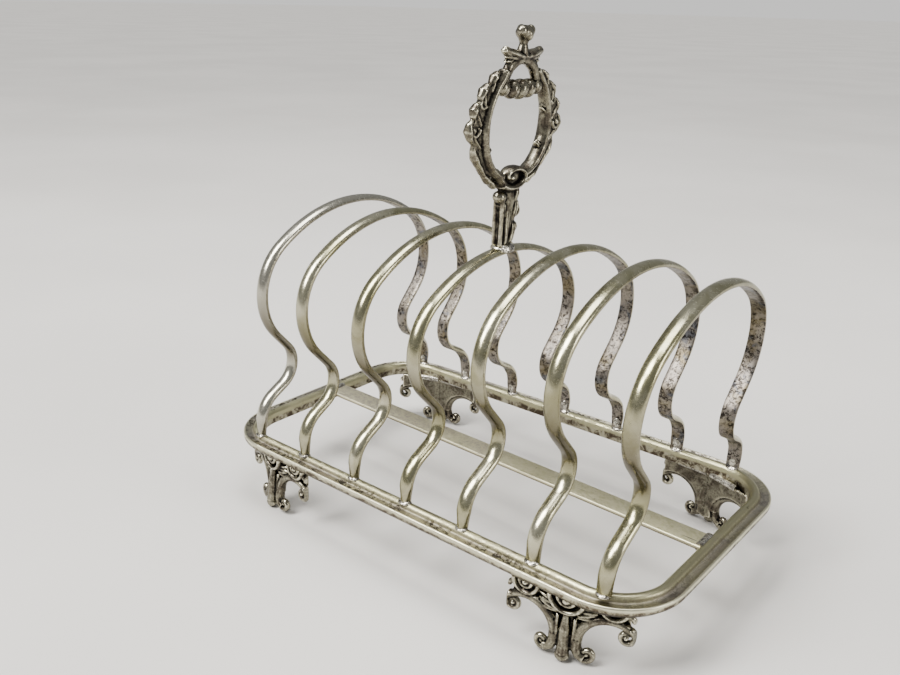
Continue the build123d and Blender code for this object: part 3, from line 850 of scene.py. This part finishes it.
@dataclass
class HoopSet:
    """Seven hoops of half-round wire, bent on one former and set a little off true."""

    places: tuple[float, ...] = (-69.0, -46.3, -22.8, 0.6, 23.1, 47.5, 69.0)
    leans: tuple[float, ...] = (0.035, -0.004, 0.039, -0.027, -0.037, 0.015, 0.057)
    sways: tuple[float, ...] = (-0.01, -0.03, -0.04, 0.04, 0.10, 0.015, -0.03)
    turns: tuple[float, ...] = (-0.02, -0.019, -0.018, 0.006, 0.008, -0.007, -0.031)
    stretches: tuple[float, ...] = (1.037, 1.015, 1.009, 0.94, 0.977, 1.0, 1.0)
    half_span: float = 44.8
    wire_width: float = 4.9
    wire_thickness: float = 2.1
    sunk_share: float = 0.1
    leg: float = 4.1
    taper: Span = (1.2, 1.6)
    ankle: Span = (10.8, 62.0)
    run: float = 5.2
    waist_radius: float = 8.5
    flare_angle: float = 43.0
    flare: float = 7.0
    shoulder: Span = (20.0, 98.6)
    facets: tuple[int, int, int, int] = (6, 16, 20, 12)
    drawn_ends: tuple[float, ...] = (0.66, 0.66, 0.66, 0.66, 0.66, 0.9, 0.9)
    crown_height: float = field(init=False, default=0.0)

    def section(self) -> list[Point]:
        """The wire's section: along the rack, outward, and from 0 on its flat to 1 on its crest."""
        wide, thick = self.wire_width / 2, self.wire_thickness / 2
        flat = [(wide * share, -thick, 0.0) for share in (-0.88, -0.45, 0.0, 0.45, 0.88)]
        low = -thick * 0.62
        near = [(wide * 0.975, -thick * 0.9, 0.2), (wide, -thick * 0.74, 0.45)]
        crest = []
        for angle in (pi * index / 16 for index in range(17)):
            rise = (thick - low) * sin(angle) ** 0.9
            crest.append((wide * cos(angle), low + rise, 0.55 + 0.45 * sin(angle)))
        far = [(-across, out, value) for across, out, value in reversed(near)]
        return flat + near + crest + far

    def bend(
        self, place: Vector, heading: float, radius: float, angle: float, steps: int
    ) -> tuple[Vector, float]:
        """Bends the wire in the former's plane.

        Args:
            place: Where the bend starts.
            heading: Heading in degrees from Y toward Z.
            radius: Radius of the bend.
            angle: Turn, positive to the left.
            steps: Facets along it.

        Returns:
            Where it ends, and the heading there.
        """
        side = 1 if angle > 0 else -1
        left = Vector((0, -sin(radians(heading)), cos(radians(heading))))
        centre = place + left * radius * side
        Bench.swing(centre, Vector((1, 0, 0)), angle, steps)
        return centre + Matrix.Rotation(radians(angle), 3, "X") @ (place - centre), heading + angle

    def straight(self, place: Vector, heading: float, length: float) -> Vector:
        """Runs the wire straight on and returns where it gets to."""
        step = Vector((0, cos(radians(heading)), sin(radians(heading)))) * length
        Bench.run(step)
        return place + step

    def follow(self, place: Vector, heading: float, part: object) -> tuple[Vector, float]:
        """Runs the wire on by a length, or bends it by a radius, an angle and facets.

        Args:
            place: Where it has got to.
            heading: Heading there.
            part: The length or the bend.

        Returns:
            Where it ends, and the heading there.
        """
        if isinstance(part, tuple):
            return self.bend(place, heading, *part)
        return self.straight(place, heading, part), heading

    def narrow(self, place: Vector, share: float) -> None:
        """Draws the wire's end narrower along the rack."""
        bpy.ops.transform.resize(value=(share, 1, 1), center_override=place * MM)

    def former(self, drawn: float) -> Piece:
        """Bends one hoop on the former, from one foot over the crown to the other.

        Args:
            drawn: Width of its ends over the wire's width.

        Returns:
            The hoop, on the former.
        """
        end = self.wire_thickness * self.sunk_share
        section = self.section()
        corners = [(across, self.half_span + out, -end) for across, out, _ in section]
        piece = Bench.section("hoop_former", corners, Mark.ROUND, [corner[2] for corner in section])
        shares = [drawn + (1 - drawn) * part / 4 for part in range(5)]
        lengths = (*self.taper, self.leg + end - sum(self.taper))
        place, heading = Vector((0, self.half_span, -end)), 90.0
        self.narrow(place, shares[0])
        for length, before, after in zip(lengths, shares, shares[1:]):
            place = self.straight(place, heading, length)
            self.narrow(place, after / before)
        ankle_facets, waist_facets, shoulder_facets, crown_facets = self.facets
        half_ankle = (self.ankle[0], self.ankle[1] / 2, ankle_facets)
        place, heading = self.bend(place, heading, *half_ankle)
        self.narrow(place, shares[4] / shares[3])
        place, heading = self.bend(place, heading, *half_ankle)
        waist = (self.waist_radius, -(self.ankle[1] + self.flare_angle), waist_facets)
        rise = (self.run, waist, self.flare, (*self.shoulder, shoulder_facets))
        for part in rise:
            place, heading = self.follow(place, heading, part)
        half_crown = 90 + self.flare_angle - self.shoulder[1]
        crown = (place.y / sin(radians(half_crown)), half_crown, crown_facets)
        place, heading = self.bend(place, heading, *crown)
        self.crown_height = place.z
        for part in (crown, *reversed(rise), half_ankle, half_ankle):
            place, heading = self.follow(place, heading, part)
        for length, before, after in zip(lengths[::-1], shares[::-1], shares[-2::-1]):
            self.narrow(place, after / before)
            place = self.straight(place, heading, length)
        self.narrow(place, shares[0] / shares[1])
        Bench.close(piece, 0.005, caps=True)
        Bench.smooth(piece, 44)
        return piece

    def stance(self, index: int, top: float) -> Matrix:
        """How a hoop stands on the rail: stretched, leaning, swayed and turned.

        Args:
            index: Which hoop, from the left.
            top: Height of the rail's top.

        Returns:
            The matrix from the former to the rack.
        """
        stretch = self.stretches[index]
        return Matrix(
            (
                (1, self.turns[index], self.leans[index] * stretch, self.places[index] * MM),
                (0, 1, self.sways[index] * stretch, 0),
                (0, 0, stretch, top * MM),
                (0, 0, 0, 1),
            )
        )

    def build(self, top: float, finish: Finish) -> None:
        """Bends the hoops on the former and stands their seven copies on the rail."""
        patterns = {drawn: self.former(drawn) for drawn in sorted(set(self.drawn_ends))}
        for index, drawn in enumerate(self.drawn_ends):
            number = str(index + 1)
            twin = Bench.copy(patterns[drawn], "hoop_wire_" + number, self.stance(index, top))
            Bench.finish(twin, finish, Slot.HOOP, "hoop_" + number)
        for pattern in patterns.values():
            bpy.data.objects.remove(pattern)

    def feet(self, top: float) -> list[Vector]:
        """Where the hoops' feet meet the rail, in millimetres."""
        spots = []
        for index in range(len(self.places)):
            for side in (-1, 1):
                foot = Vector((0, side * self.half_span * MM, 0))
                spots.append(self.stance(index, top) @ foot / MM)
        return spots


@dataclass
class Strap:
    """The flat bar down the middle of the rail, set slightly askew."""

    width: float = 8.2
    thickness: float = 1.3
    skew: float = -0.031
    drop: float = 0.6
    overlap: float = 0.3
    edge: float = 0.3
    pieces: int = 24

    def build(self, rail: Rail, top: float, finish: Finish) -> Piece:
        """Lays the bar between the rail's short sides.

        Args:
            rail: The rail it joins.
            top: Height of the rail's top.
            finish: Its finish.

        Returns:
            The strap.
        """
        Bench.clear()
        length = rail.length - 2 * (rail.section_width - self.overlap)
        middle = (0, 0, (top - self.drop - self.thickness / 2) * MM)
        size = (length, self.width, self.thickness)
        bpy.ops.mesh.primitive_cube_add(size=MM, location=middle, scale=size)
        piece = bpy.context.object
        piece.name = piece.data.name = "strap_bar"
        Bench.fix(piece)
        Bench.edit(piece)
        mesh = bmesh.from_edit_mesh(piece.data)
        for edge in mesh.edges:
            edge.select_set(edge.calc_length() > 0.5 * length * MM)
        bmesh.update_edit_mesh(piece.data)
        bpy.ops.mesh.bevel(offset=self.edge * MM, segments=3, affect="EDGES")
        for index in range(1, self.pieces):
            bpy.ops.mesh.select_all(action="SELECT")
            cut = (index / self.pieces - 0.5) * length * MM
            bpy.ops.mesh.bisect(plane_co=(cut, 0, 0), plane_no=(1, 0, 0))
        bpy.ops.mesh.select_all(action="SELECT")
        bpy.ops.transform.vertex_random(offset=0.03 * MM, uniform=0.2, seed=4)
        Bench.close(piece)
        rows = Bench.points(piece) / MM
        Bench.keep(piece, Mark.ACROSS, np.abs(rows[:, 1]))
        Bench.keep(piece, Mark.DEPTH, (top - self.drop) - rows[:, 2])
        slant = Matrix.Identity(4)
        slant[1][0] = self.skew
        Bench.place(piece, slant)
        Bench.smooth(piece, 40)
        return Bench.finish(piece, finish, Slot.STRAP, "centre_strap")


@dataclass
class Foot:
    """A cast foot: two scrolled halves that meet at a ribbed toe, under a corner of the rail."""

    x: float = 60.5
    y: float = 45.3
    inner_turn: float = 5.0
    outer_turn: float = 20.0
    half_width: float = 17.2
    plate: float = 1.6
    scroll: Span = (12.0, 6.2)
    shell: float = 12.8
    drop: float = 5.4
    top: float = 20.0
    grain: float = 0.26

    def half(self) -> Piece:
        """Models one half in its own plan, from the middle of the foot outward."""
        clay = Clay()
        scroll_x, scroll_z = self.scroll
        turns = [radians(angle) for angle in range(56, 181, 12)]
        arc = [(scroll_x + 9.3 * cos(turn), scroll_z + 9.3 * sin(turn)) for turn in turns]
        edge = [(-0.6, self.top), (self.half_width, self.top), (self.half_width, 17.4)]
        clay.slab([*edge, *arc, (3.0, 4.0), (-0.6, 3.0)], -self.plate, -0.35)
        clay.curl((scroll_x, 0.3, scroll_z), (8.9, 8.9), (40, 176), (1.0, 1.75), 1.0, 18)
        clay.curl((16.4, 0.4, 11.3), (2.7, 0.8), (70, -330), (1.05, 0.6), 1.2, 20)
        clay.ball((16.4, 0.8, 11.3), (0.75, 1.0, 0.75))
        toe = ((3.1, 0.5, 7.0, 1.7), (3.1, 0.9, 4.8, 1.7), (4.0, 1.2, 2.9, 1.6))
        clay.row((*toe, (5.6, 1.4, 2.2, 1.6)))
        clay.curl((6.4, 1.3, 3.5), (2.3, 0.7), (215, 560), (1.1, 0.65), 1.2, 18)
        clay.ball((6.4, 1.2, 3.5), (0.8, 1.2, 0.8))
        clay.leaf((2.6, 0.3, 16.6), (8.6, 0.6, 17.3), 2.6, 1.9, 0.0)
        clay.leaf((2.6, 0.5, 14.2), (8.4, 0.8, 15.4), 1.9, 1.8, 0.0)
        for radius, wire in ((3.9, 0.75), (2.0, 0.7)):
            middle = (self.shell, 0.6, self.top - 0.1)
            clay.curl(middle, (radius, radius), (178, 362), (wire, wire), 1.4, 14)
        clay.ball((self.shell, 1.0, self.top - 0.5), (1.0, 1.1, 0.9))
        corner = self.half_width
        clay.row(((corner - 1.2, 0.3, 18.6, 0.9), (corner + 0.8, 0.4, 17.4, 0.8)), 1.2)
        clay.ball((corner + 1.0, 0.4, 16.9), (0.95, 0.9, 0.95))
        return clay.gather("foot_half")

    def middle(self) -> Piece:
        """Models the drop, the ribs and the toe where the halves meet."""
        clay = Clay()
        for radius, wire in ((5.0, 0.8), (2.7, 0.75)):
            middle = (0, 0.9, self.top + 0.1)
            clay.curl(middle, (radius, radius), (178, 362), (wire, wire), 1.4, 16)
        clay.ball((0, 1.4, self.top - 0.9), (1.3, 1.2, 1.2))
        toe = ((0, 0.6, 14.0, 0.9), (0, 1.3, 10.0, 1.5), (0, 1.4, 6.0, 1.65), (0, 1.9, 2.8, 1.9))
        clay.row(toe, 1.05)
        ribs = ((2.5, 0.2, 13.4, 0.6), (2.6, 0.6, 9.0, 0.8), (2.2, 1.0, 4.6, 0.8))
        for side in (-1, 1):
            clay.row(ribs, 1.1, side=side)
        clay.ball((0, 2.1, 1.9), (2.2, 1.7, 1.9))
        return clay.gather("foot_middle")

    def stand(self, side_x: int, side_y: int, reach: int) -> Matrix:
        """Where one half stands.

        Args:
            side_x: +1 at the right of the rack, -1 at the left.
            side_y: +1 at the back, -1 at the front.
            reach: +1 for the half toward the rack's end, -1 for the other, 0 for the middle.

        Returns:
            The matrix from the plan to the rack.
        """
        middle_turn = (self.inner_turn + self.outer_turn) / 2
        turn = radians({-1: self.inner_turn, 0: middle_turn, 1: self.outer_turn}[reach])
        along = Vector((side_x * cos(turn), -side_y * sin(turn), 0)) * (reach or 1)
        outward = Vector((side_x * sin(turn), side_y * cos(turn), 0))
        matrix = Matrix((along, outward, Vector((0, 0, 1)))).transposed().to_4x4()
        matrix.translation = Vector((side_x * self.x, side_y * self.y, 0)) * MM
        return matrix

    def build(self, finish: Finish) -> None:
        """Casts one foot and copies it to the four corners."""
        half, middle = self.half(), self.middle()
        parts = [Bench.copy(half, "half", self.stand(1, -1, reach)) for reach in (-1, 1)]
        parts.append(Bench.copy(middle, "middle", self.stand(1, -1, 0)))
        foot = Bench.join(parts, "foot_pattern")
        for spare in (half, middle):
            bpy.data.objects.remove(spare)
        Bench.cast(foot, self.grain, 2)
        for depth, side_y in (("front", -1), ("back", 1)):
            for side, side_x in (("left", -1), ("right", 1)):
                name = depth + "_" + side
                mirror = Matrix.Diagonal((side_x, -side_y, 1, 1))
                twin = Bench.copy(foot, "foot_cast_" + name, mirror)
                self.trim(twin, "foot_" + name)
                Bench.finish(twin, finish, Slot.CAST, "foot_" + name)
        bpy.data.objects.remove(foot)

    @staticmethod
    def trim(piece: Piece, node: str) -> None:
        """Keeps a casting inside its node's box, as a file would."""
        low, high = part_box(node)
        rows = np.clip(Bench.points(piece), np.array(low), np.array(high))
        piece.data.vertices.foreach_set("co", rows.astype(np.float32).ravel())
        piece.data.update()


@dataclass
class RingHandle:
    """The cast handle: a leafy stem, a volute and a ring of two scrolled arms under a bud."""

    lean: float = 0.06
    sway: float = 0.018
    hoop: int = 3
    grain: float = 0.27

    def stand(self, hoops: HoopSet, top: float) -> Matrix:
        """Where the handle stands on its hoop.

        Args:
            hoops: The hoops.
            top: Height of the rail's top.

        Returns:
            The matrix from the plan to the rack.
        """
        height = hoops.crown_height + hoops.wire_thickness / 2 / hoops.stretches[self.hoop]
        crown = hoops.stance(self.hoop, top) @ Vector((0, 0, height * MM))
        up = Vector((self.lean, self.sway, 1)).normalized()
        across = (Vector((0, 1, 0)) - up * up.y).normalized()
        matrix = Matrix((across, across.cross(up), up)).transposed().to_4x4()
        matrix.translation = crown
        return matrix

    @staticmethod
    def stem(clay: Clay) -> None:
        """Models the leafy stem, its two buds and the small scrolls down one edge."""
        core = ((-0.6, 3.6), (0.8, 3.6), (3.0, 3.8), (9.0, 4.2), (15.0, 4.6), (18.5, 3.8))
        clay.stem([((0, 0, height), radius) for height, radius in (*core, (20.5, 2.6))], 0.5, 16)
        edge = ((-3.3, 1.2, 0.6, 0.75), (-3.9, 1.3, 8.0, 0.7), (-4.3, 1.2, 15.4, 0.8))
        for depth in (-1, 1):
            clay.row(edge, depth=depth)
            for (x, y, z), (tip_x, tip_y, tip_z), width, thick in (
                ((-1.2, 1.7, 0.6), (-1.6, 1.9, 13.0), 1.5, 1.2),
                ((1.0, 2.0, 1.2), (2.2, 1.8, 7.8), 2.0, 1.6),
                ((0.8, 2.0, 8.6), (2.6, 1.7, 15.0), 2.2, 1.7),
                ((1.2, 2.0, 14.4), (2.6, 1.6, 18.8), 1.8, 1.6),
            ):
                tip = (tip_x, depth * tip_y, tip_z)
                clay.leaf((x, depth * y, z), tip, width, thick, 0.0)
            clay.curl((2.6, depth * 1.4, 6.6), (1.5, 0.5), (-120, 220), (0.65, 0.5), 1.3)
            clay.curl((3.0, depth * 1.4, 11.8), (1.7, 0.5), (-120, 230), (0.7, 0.5), 1.3)
        clay.row(((-2.6, 0, 10.4, 1.2), (-3.6, 0, 14.2, 1.4)), 1.5)
        clay.ball((-4.4, 0, 16.4), (2.1, 2.3, 2.0))
        clay.ball((4.0, 0, 12.6), (1.6, 1.7, 1.7))
        clay.ball((3.4, 0, 7.0), (1.3, 1.5, 1.4))

    @staticmethod
    def volute(clay: Clay) -> None:
        """Models the rolled volute that carries the ring."""
        clay.curl((0.6, 0, 22.6), (3.8, 1.5), (215, 560), (1.25, 0.85), 2.4, 30, 1.95)
        sweep = ((-9.0, 0, 25.0, 1.4), (-6.4, 0, 22.0, 1.5), (-3.4, 0, 19.8, 1.45))
        clay.row((*sweep, (0.8, 0, 18.6, 1.3)), 1.7)
        clay.ball((0.4, 0, 22.3), (4.6, 1.5, 3.0))
        clay.ball((-0.6, 0, 22.3), (1.25, 2.4, 1.1))

    @staticmethod
    def arm(clay: Clay, side: int) -> None:
        """Models one arm of the ring: a smooth inner rib, a sunk web and a scalloped leafy edge.

        Args:
            clay: The casting being modelled.
            side: +1 or -1, across the rack.
        """
        arcs = ((range(-78, 1, 13), 3, 13.0, 14.6, 1.5), (range(10, 51, 10), -2, 18.0, 19.6, 1.4))
        rib: list[Station] = []
        for angles, middle, wide, high, wire in arcs:
            for turn in (radians(angle) for angle in angles):
                across, height = middle + wide * cos(turn), 37.2 + high * sin(turn)
                rib.append((Vector((side * across, 0, height)), wire))
        rib.append((Vector((side * 8.0, 0, 54.2)), 1.25))
        clay.stem(rib, 1.65, 14)
        edge = [(7.6, 21.8), (15.0, 25.8), (18.6, 29.9), (20.4, 34.2), (22.6, 38.0), (20.6, 41.2)]
        edge += [(20.0, 44.2), (17.8, 46.2), (16.4, 49.4), (12.8, 51.0), (9.8, 54.2)]
        inner = [(side * abs(point.x), point.z) for point, _ in rib[1:]]
        outline = [(side * across, height) for across, height in edge] + list(reversed(inner))
        clay.slab(outline, -1.0, 1.0)
        for start, crest, end in (
            ((4.6, 20.2), (11.6, 22.2), (15.8, 27.0)),
            ((14.6, 25.0), (18.9, 29.6), (20.4, 34.4)),
            ((19.4, 33.0), (23.0, 37.6), (20.9, 41.4)),
            ((20.4, 39.8), (21.2, 43.6), (18.2, 46.0)),
            ((18.6, 44.6), (17.6, 49.0), (13.4, 51.0)),
            ((14.4, 49.4), (13.0, 52.6), (10.0, 54.2)),
        ):
            first, top, last = (Vector((side * x, 0, z)) for x, z in (start, crest, end))
            swell = (top - (first + last) / 2) * 0.3
            bend = [first, (first + top) / 2 + swell, top, (top + last) / 2 + swell, last]
            clay.stem(list(zip(bend, (0.35, 0.8, 1.1, 0.75, 0.3))), 1.6)
            root = Vector((side * (0.62 * abs(first.x) + 5.6), 0, first.z * 0.985))
            clay.stem([(root, 0.7), ((root + top) / 2, 0.75), (top, 0.6)], 2.0)
        low_turn, high_turn = ((170, 480), (200, 480)) if side > 0 else ((10, -300), (-20, -300))
        clay.curl((side * 21.0, 0, 38.0), (2.2, 0.6), low_turn, (0.9, 0.6), 2.0, 14)
        clay.ball((side * 21.4, 0, 38.0), (1.3, 1.7, 1.3))
        clay.curl((side * 18.0, 0, 45.4), (1.6, 0.5), high_turn, (0.8, 0.5), 2.0)
        clay.leaf((side * 13.8, 0, 30.0), (side * 11.9, 0, 32.6), 1.4, 2.4, 0.0)
        clay.leaf((side * 15.0, 0, 41.0), (side * 12.8, 0, 43.4), 1.5, 2.4, 0.0)

    @staticmethod
    def crest(clay: Clay) -> None:
        """Models the gadrooned roll, the arch, the leaf bracket and the bud above the ring."""
        for index in range(-2, 3):
            reach = abs(index) / 2
            size = (2.5, 3.25 - 0.9 * reach**2, 3.2 - 0.8 * reach**2)
            clay.ball((index * 4.1, 0, 48.8 + 0.5 * reach**2), size, 24.0)
        arch = [(8.6, 0, 49.8, 1.7), (7.8, 0, 52.6, 1.75), (6.0, 0, 55.2, 1.75)]
        arch += [(2.8, 0, 57.2, 1.8), (0, 0, 57.8, 1.8)]
        vein = ((0.6, 1.5, 58.2, 0.55), (4.8, 1.7, 59.0, 0.6), (8.6, 0.9, 59.9, 0.45))
        for side in (-1, 1):
            clay.row(arch, 0.95, 12, side)
            for (x, z), (tip_x, tip_z), width, thick in (
                ((0.2, 57.8), (7.4, 59.2), 3.2, 3.4),
                ((4.6, 58.4), (9.6, 60.3), 2.4, 2.8),
                ((4.0, 57.6), (8.8, 57.4), 1.9, 2.6),
            ):
                clay.leaf((side * x, 0, z), (side * tip_x, 0, tip_z), width, thick, 0.0)
            clay.ball((side * 9.0, 0, 59.9), (1.0, 1.3, 0.9))
            for depth in (-1, 1):
                clay.row(vein, side=side, depth=depth)
        clay.row(((0, 0, 58.2, 2.3), (0, 0, 60.4, 1.7), (0, 0, 61.8, 1.25), (0, 0, 63.4, 1.9)))
        clay.ball((0, 0, 64.9), (3.1, 2.7, 2.2))
        for spot, size in (
            ((-2.0, 0.4, 65.4), (1.4, 1.8, 1.6)),
            ((1.9, 0.6, 65.6), (1.5, 1.6, 1.7)),
            ((0.1, -1.4, 65.6), (1.5, 1.4, 1.6)),
            ((0.2, 1.7, 64.4), (1.3, 1.2, 1.6)),
        ):
            clay.ball(spot, size)

    def build(self, hoops: HoopSet, top: float, finish: Finish) -> Piece:
        """Models, casts and stands the handle.

        Args:
            hoops: The hoops it stands on.
            top: Height of the rail's top.
            finish: Its finish.

        Returns:
            The handle.
        """
        clay = Clay()
        self.stem(clay)
        self.volute(clay)
        for side in (-1, 1):
            self.arm(clay, side)
        self.crest(clay)
        piece = clay.gather("ring_handle_cast")
        Bench.cast(piece, self.grain, 2)
        Bench.place(piece, self.stand(hoops, top))
        Foot.trim(piece, "ring_handle")
        return Bench.finish(piece, finish, Slot.CAST, "ring_handle")


@dataclass
class SolderWork:
    """Blobs and smears of solder at the hoops' feet and under the handle."""

    blob: Point = (2.7, 2.0, 0.75)
    sink: float = 0.35
    smear: float = 4.4
    grain: float = 0.22
    unevenness: float = 0.14

    def pour(self, parts: Piece, stand: Matrix, node: str, finish: Finish) -> None:
        """Runs joined pools into one skin and puts it in a node's place.

        Args:
            parts: The joined pools.
            stand: Where they go.
            node: The node.
            finish: The solder's finish.
        """
        Bench.melt(parts, self.grain, 3)
        Bench.place(parts, stand)
        Bench.smooth(parts, 80)
        Bench.finish(parts, finish, Slot.SOLDER, node)

    def pool(self, spot: Vector, seed: int, smeared: bool) -> Piece:
        """Models one uneven pool, with a smear up the leg if it is a heavy one.

        Args:
            spot: Where the leg meets the rail.
            seed: Seed of its unevenness.
            smeared: Whether solder ran up the leg.

        Returns:
            The pool.
        """
        clay = Clay()
        wide, deep, high = self.blob
        grow = 0.86 + 0.05 * (seed % 4)
        low = spot.z - self.sink
        clay.ball((spot.x, spot.y, low), (wide * grow, deep * grow, high))
        clay.ball((spot.x + 1.1 * grow, spot.y - 0.4, low + 0.15), (1.3, 1.2, 0.85 * grow))
        if smeared:
            inward = -1 if spot.y > 0 else 1
            half = self.smear / 2
            clay.ball((spot.x, spot.y + inward * 0.75, spot.z + half), (1.55, 0.62, half * grow))
        piece = clay.gather("pool")
        Bench.edit(piece)
        bpy.ops.transform.vertex_random(offset=self.unevenness * MM, uniform=0.5, seed=seed)
        Bench.clear()
        return piece

    def build(self, hoops: HoopSet, stand: Matrix, top: float, finish: Finish) -> None:
        """Lays the solder of the fourteen hoop feet and the handle's collar.

        Args:
            hoops: The hoops.
            stand: Where the handle stands.
            top: Height of the rail's top.
            finish: The solder's finish.
        """
        spots = enumerate(hoops.feet(top))
        pools = [self.pool(spot, index, spot.y > 0) for index, spot in spots]
        joints = Bench.join(pools, "hoop_joint_solder")
        self.pour(joints, Matrix.Identity(4), "hoop_solder", finish)
        clay = Clay()
        collar = ((0, 0, -1.3, 3.9), (0, 0, -0.5, 3.9), (0, 0, 0.2, 3.5), (0, 0, 0.9, 3.05))
        clay.row(collar, 1.0, 24)
        clay.ball((1.6, 2.2, -0.1), (1.5, 1.2, 0.8))
        clay.ball((-2.2, 1.7, -0.3), (1.3, 1.3, 0.7))
        self.pour(clay.gather("handle_joint_solder"), stand, "handle_solder", finish)
        for node in ("foot_solder", "strap_solder"):
            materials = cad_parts[node].data.materials
            materials.clear()
            materials.append(finish)


# ---- studio ----------------------------------------------------------------------------------


@dataclass
class Studio:
    """A pale floor, soft lamps and the camera."""

    azimuth: float = 39.15
    elevation: float = 20.46
    roll: float = 1.33
    distance: float = 299.1
    aim: Point = (-14.2, -6.8, 64.7)
    lens: float = 35.95

    def camera(self) -> None:
        """Sets the camera up."""
        turn, rise, roll = radians(self.azimuth), radians(self.elevation), radians(self.roll)
        back = Vector((sin(turn) * cos(rise), -cos(turn) * cos(rise), sin(rise)))
        right = Vector((0, 0, 1)).cross(back).normalized()
        up = back.cross(right)
        tilted = (cos(roll) * right + sin(roll) * up, -sin(roll) * right + cos(roll) * up, back)
        data = bpy.data.cameras.new("studio_camera")
        data.lens = self.lens
        data.sensor_width = 36.0
        data.clip_start = 0.01
        data.clip_end = 100.0
        holder = bpy.data.objects.new("studio_camera", data)
        matrix = Matrix(tilted).transposed().to_4x4()
        matrix.translation = (Vector(self.aim) + back * self.distance) * MM
        holder.matrix_world = matrix
        bpy.context.scene.collection.objects.link(holder)
        bpy.context.scene.camera = holder

    @staticmethod
    def hang(data: bpy.types.Light, at: Point, aim: Point) -> None:
        """Hangs a lamp at a place, facing another."""
        holder = bpy.data.objects.new(data.name, data)
        holder.location = at
        holder.rotation_mode = "QUATERNION"
        holder.rotation_quaternion = (Vector(aim) - Vector(at)).to_track_quat("-Z", "Y")
        bpy.context.scene.collection.objects.link(holder)

    @staticmethod
    def lamp(name: str, at: Point, aim: Point, size: Span, power: float, colour: Colour) -> None:
        """Hangs a soft rectangular lamp.

        Args:
            name: Its name.
            at: Its place in metres.
            aim: What it faces.
            size: Its width and height in metres.
            power: Its power in watts.
            colour: Its colour.
        """
        data = bpy.data.lights.new(name, "AREA")
        data.shape = "RECTANGLE"
        data.size, data.size_y = size
        data.energy, data.color = power, colour
        Studio.hang(data, at, aim)

    @staticmethod
    def floor() -> None:
        """Lays the floor."""
        Bench.clear()
        bpy.ops.mesh.primitive_plane_add(size=40.0, location=(0, 0, 0))
        floor = bpy.context.object
        floor.name = "studio_floor"
        mix = Recipe("studio_paper")
        clouds = mix.patches((260, 3, 0.5), 0.3, 0.7)
        colour = mix.blend(clouds, (0.70, 0.69, 0.67), (0.75, 0.74, 0.72))
        normal = mix.bump(mix.noise(1.2, 3, 0.6), 0.03, 0.3)
        mix.feed(mix.shader, {"Base Color": colour, "Roughness": 0.75, "Normal": normal})
        mix.shader.inputs["Specular IOR Level"].default_value = 0.2
        floor.data.materials.append(mix.material)

    def build(self) -> None:
        """Sets up floor, lamps, world and camera."""
        self.floor()
        low, mid = (0, 0, 0.06), (0, 0, 0.07)
        self.lamp("key_lamp", (-0.45, -0.75, 0.70), low, (0.34, 0.34), 5.0, (1.0, 0.97, 0.93))
        self.lamp("top_lamp", (0.0, 0.10, 1.05), low, (0.7, 0.4), 5.0, (1.0, 0.98, 0.95))
        self.lamp("side_lamp", (0.85, 0.15, 0.40), mid, (0.25, 0.5), 2.0, (1.0, 0.96, 0.9))
        sun = bpy.data.lights.new("soft_sun", "SUN")
        sun.energy, sun.angle, sun.color = 2.3, radians(28), (1.0, 0.98, 0.95)
        self.hang(sun, (0, 0, 0), (0.35, 0.45, -1.0))
        world = bpy.data.worlds.new("studio_air")
        world.use_nodes = True
        tree = world.node_tree
        glow, wall = tree.nodes["Background"], tree.nodes.new("ShaderNodeBackground")
        glow.inputs["Color"].default_value = (0.95, 0.95, 0.95, 1.0)
        glow.inputs["Strength"].default_value = 0.3
        wall.inputs["Color"].default_value = (0.66, 0.655, 0.645, 1.0)
        seen = tree.nodes.new("ShaderNodeMixShader")
        path = tree.nodes.new("ShaderNodeLightPath")
        tree.links.new(path.outputs["Is Camera Ray"], seen.inputs[0])
        tree.links.new(glow.outputs[0], seen.inputs[1])
        tree.links.new(wall.outputs[0], seen.inputs[2])
        tree.links.new(seen.outputs[0], tree.nodes["World Output"].inputs["Surface"])
        bpy.context.scene.world = world
        bpy.context.scene.view_settings.look = "AgX - Medium High Contrast"
        self.camera()


def main() -> None:
    """Builds the rack from the rail up, then the studio."""
    logging.basicConfig(level=logging.INFO, format="%(name)s %(message)s")
    rail, hoops, handle = Rail(), HoopSet(), RingHandle()
    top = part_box("base_rail")[1].z / MM
    solder = Solder().make()
    cast = CastSilver().make()
    rail.build(top, RailPlate().make())
    Strap().build(rail, top, StrapPlate().make())
    hoops.build(top, HoopPlate().make())
    Foot().build(cast)
    handle.build(hoops, top, cast)
    SolderWork().build(hoops, handle.stand(hoops, top), top, solder)
    Studio().build()
    Bench.clear()


if __name__ == "__main__":
    main()
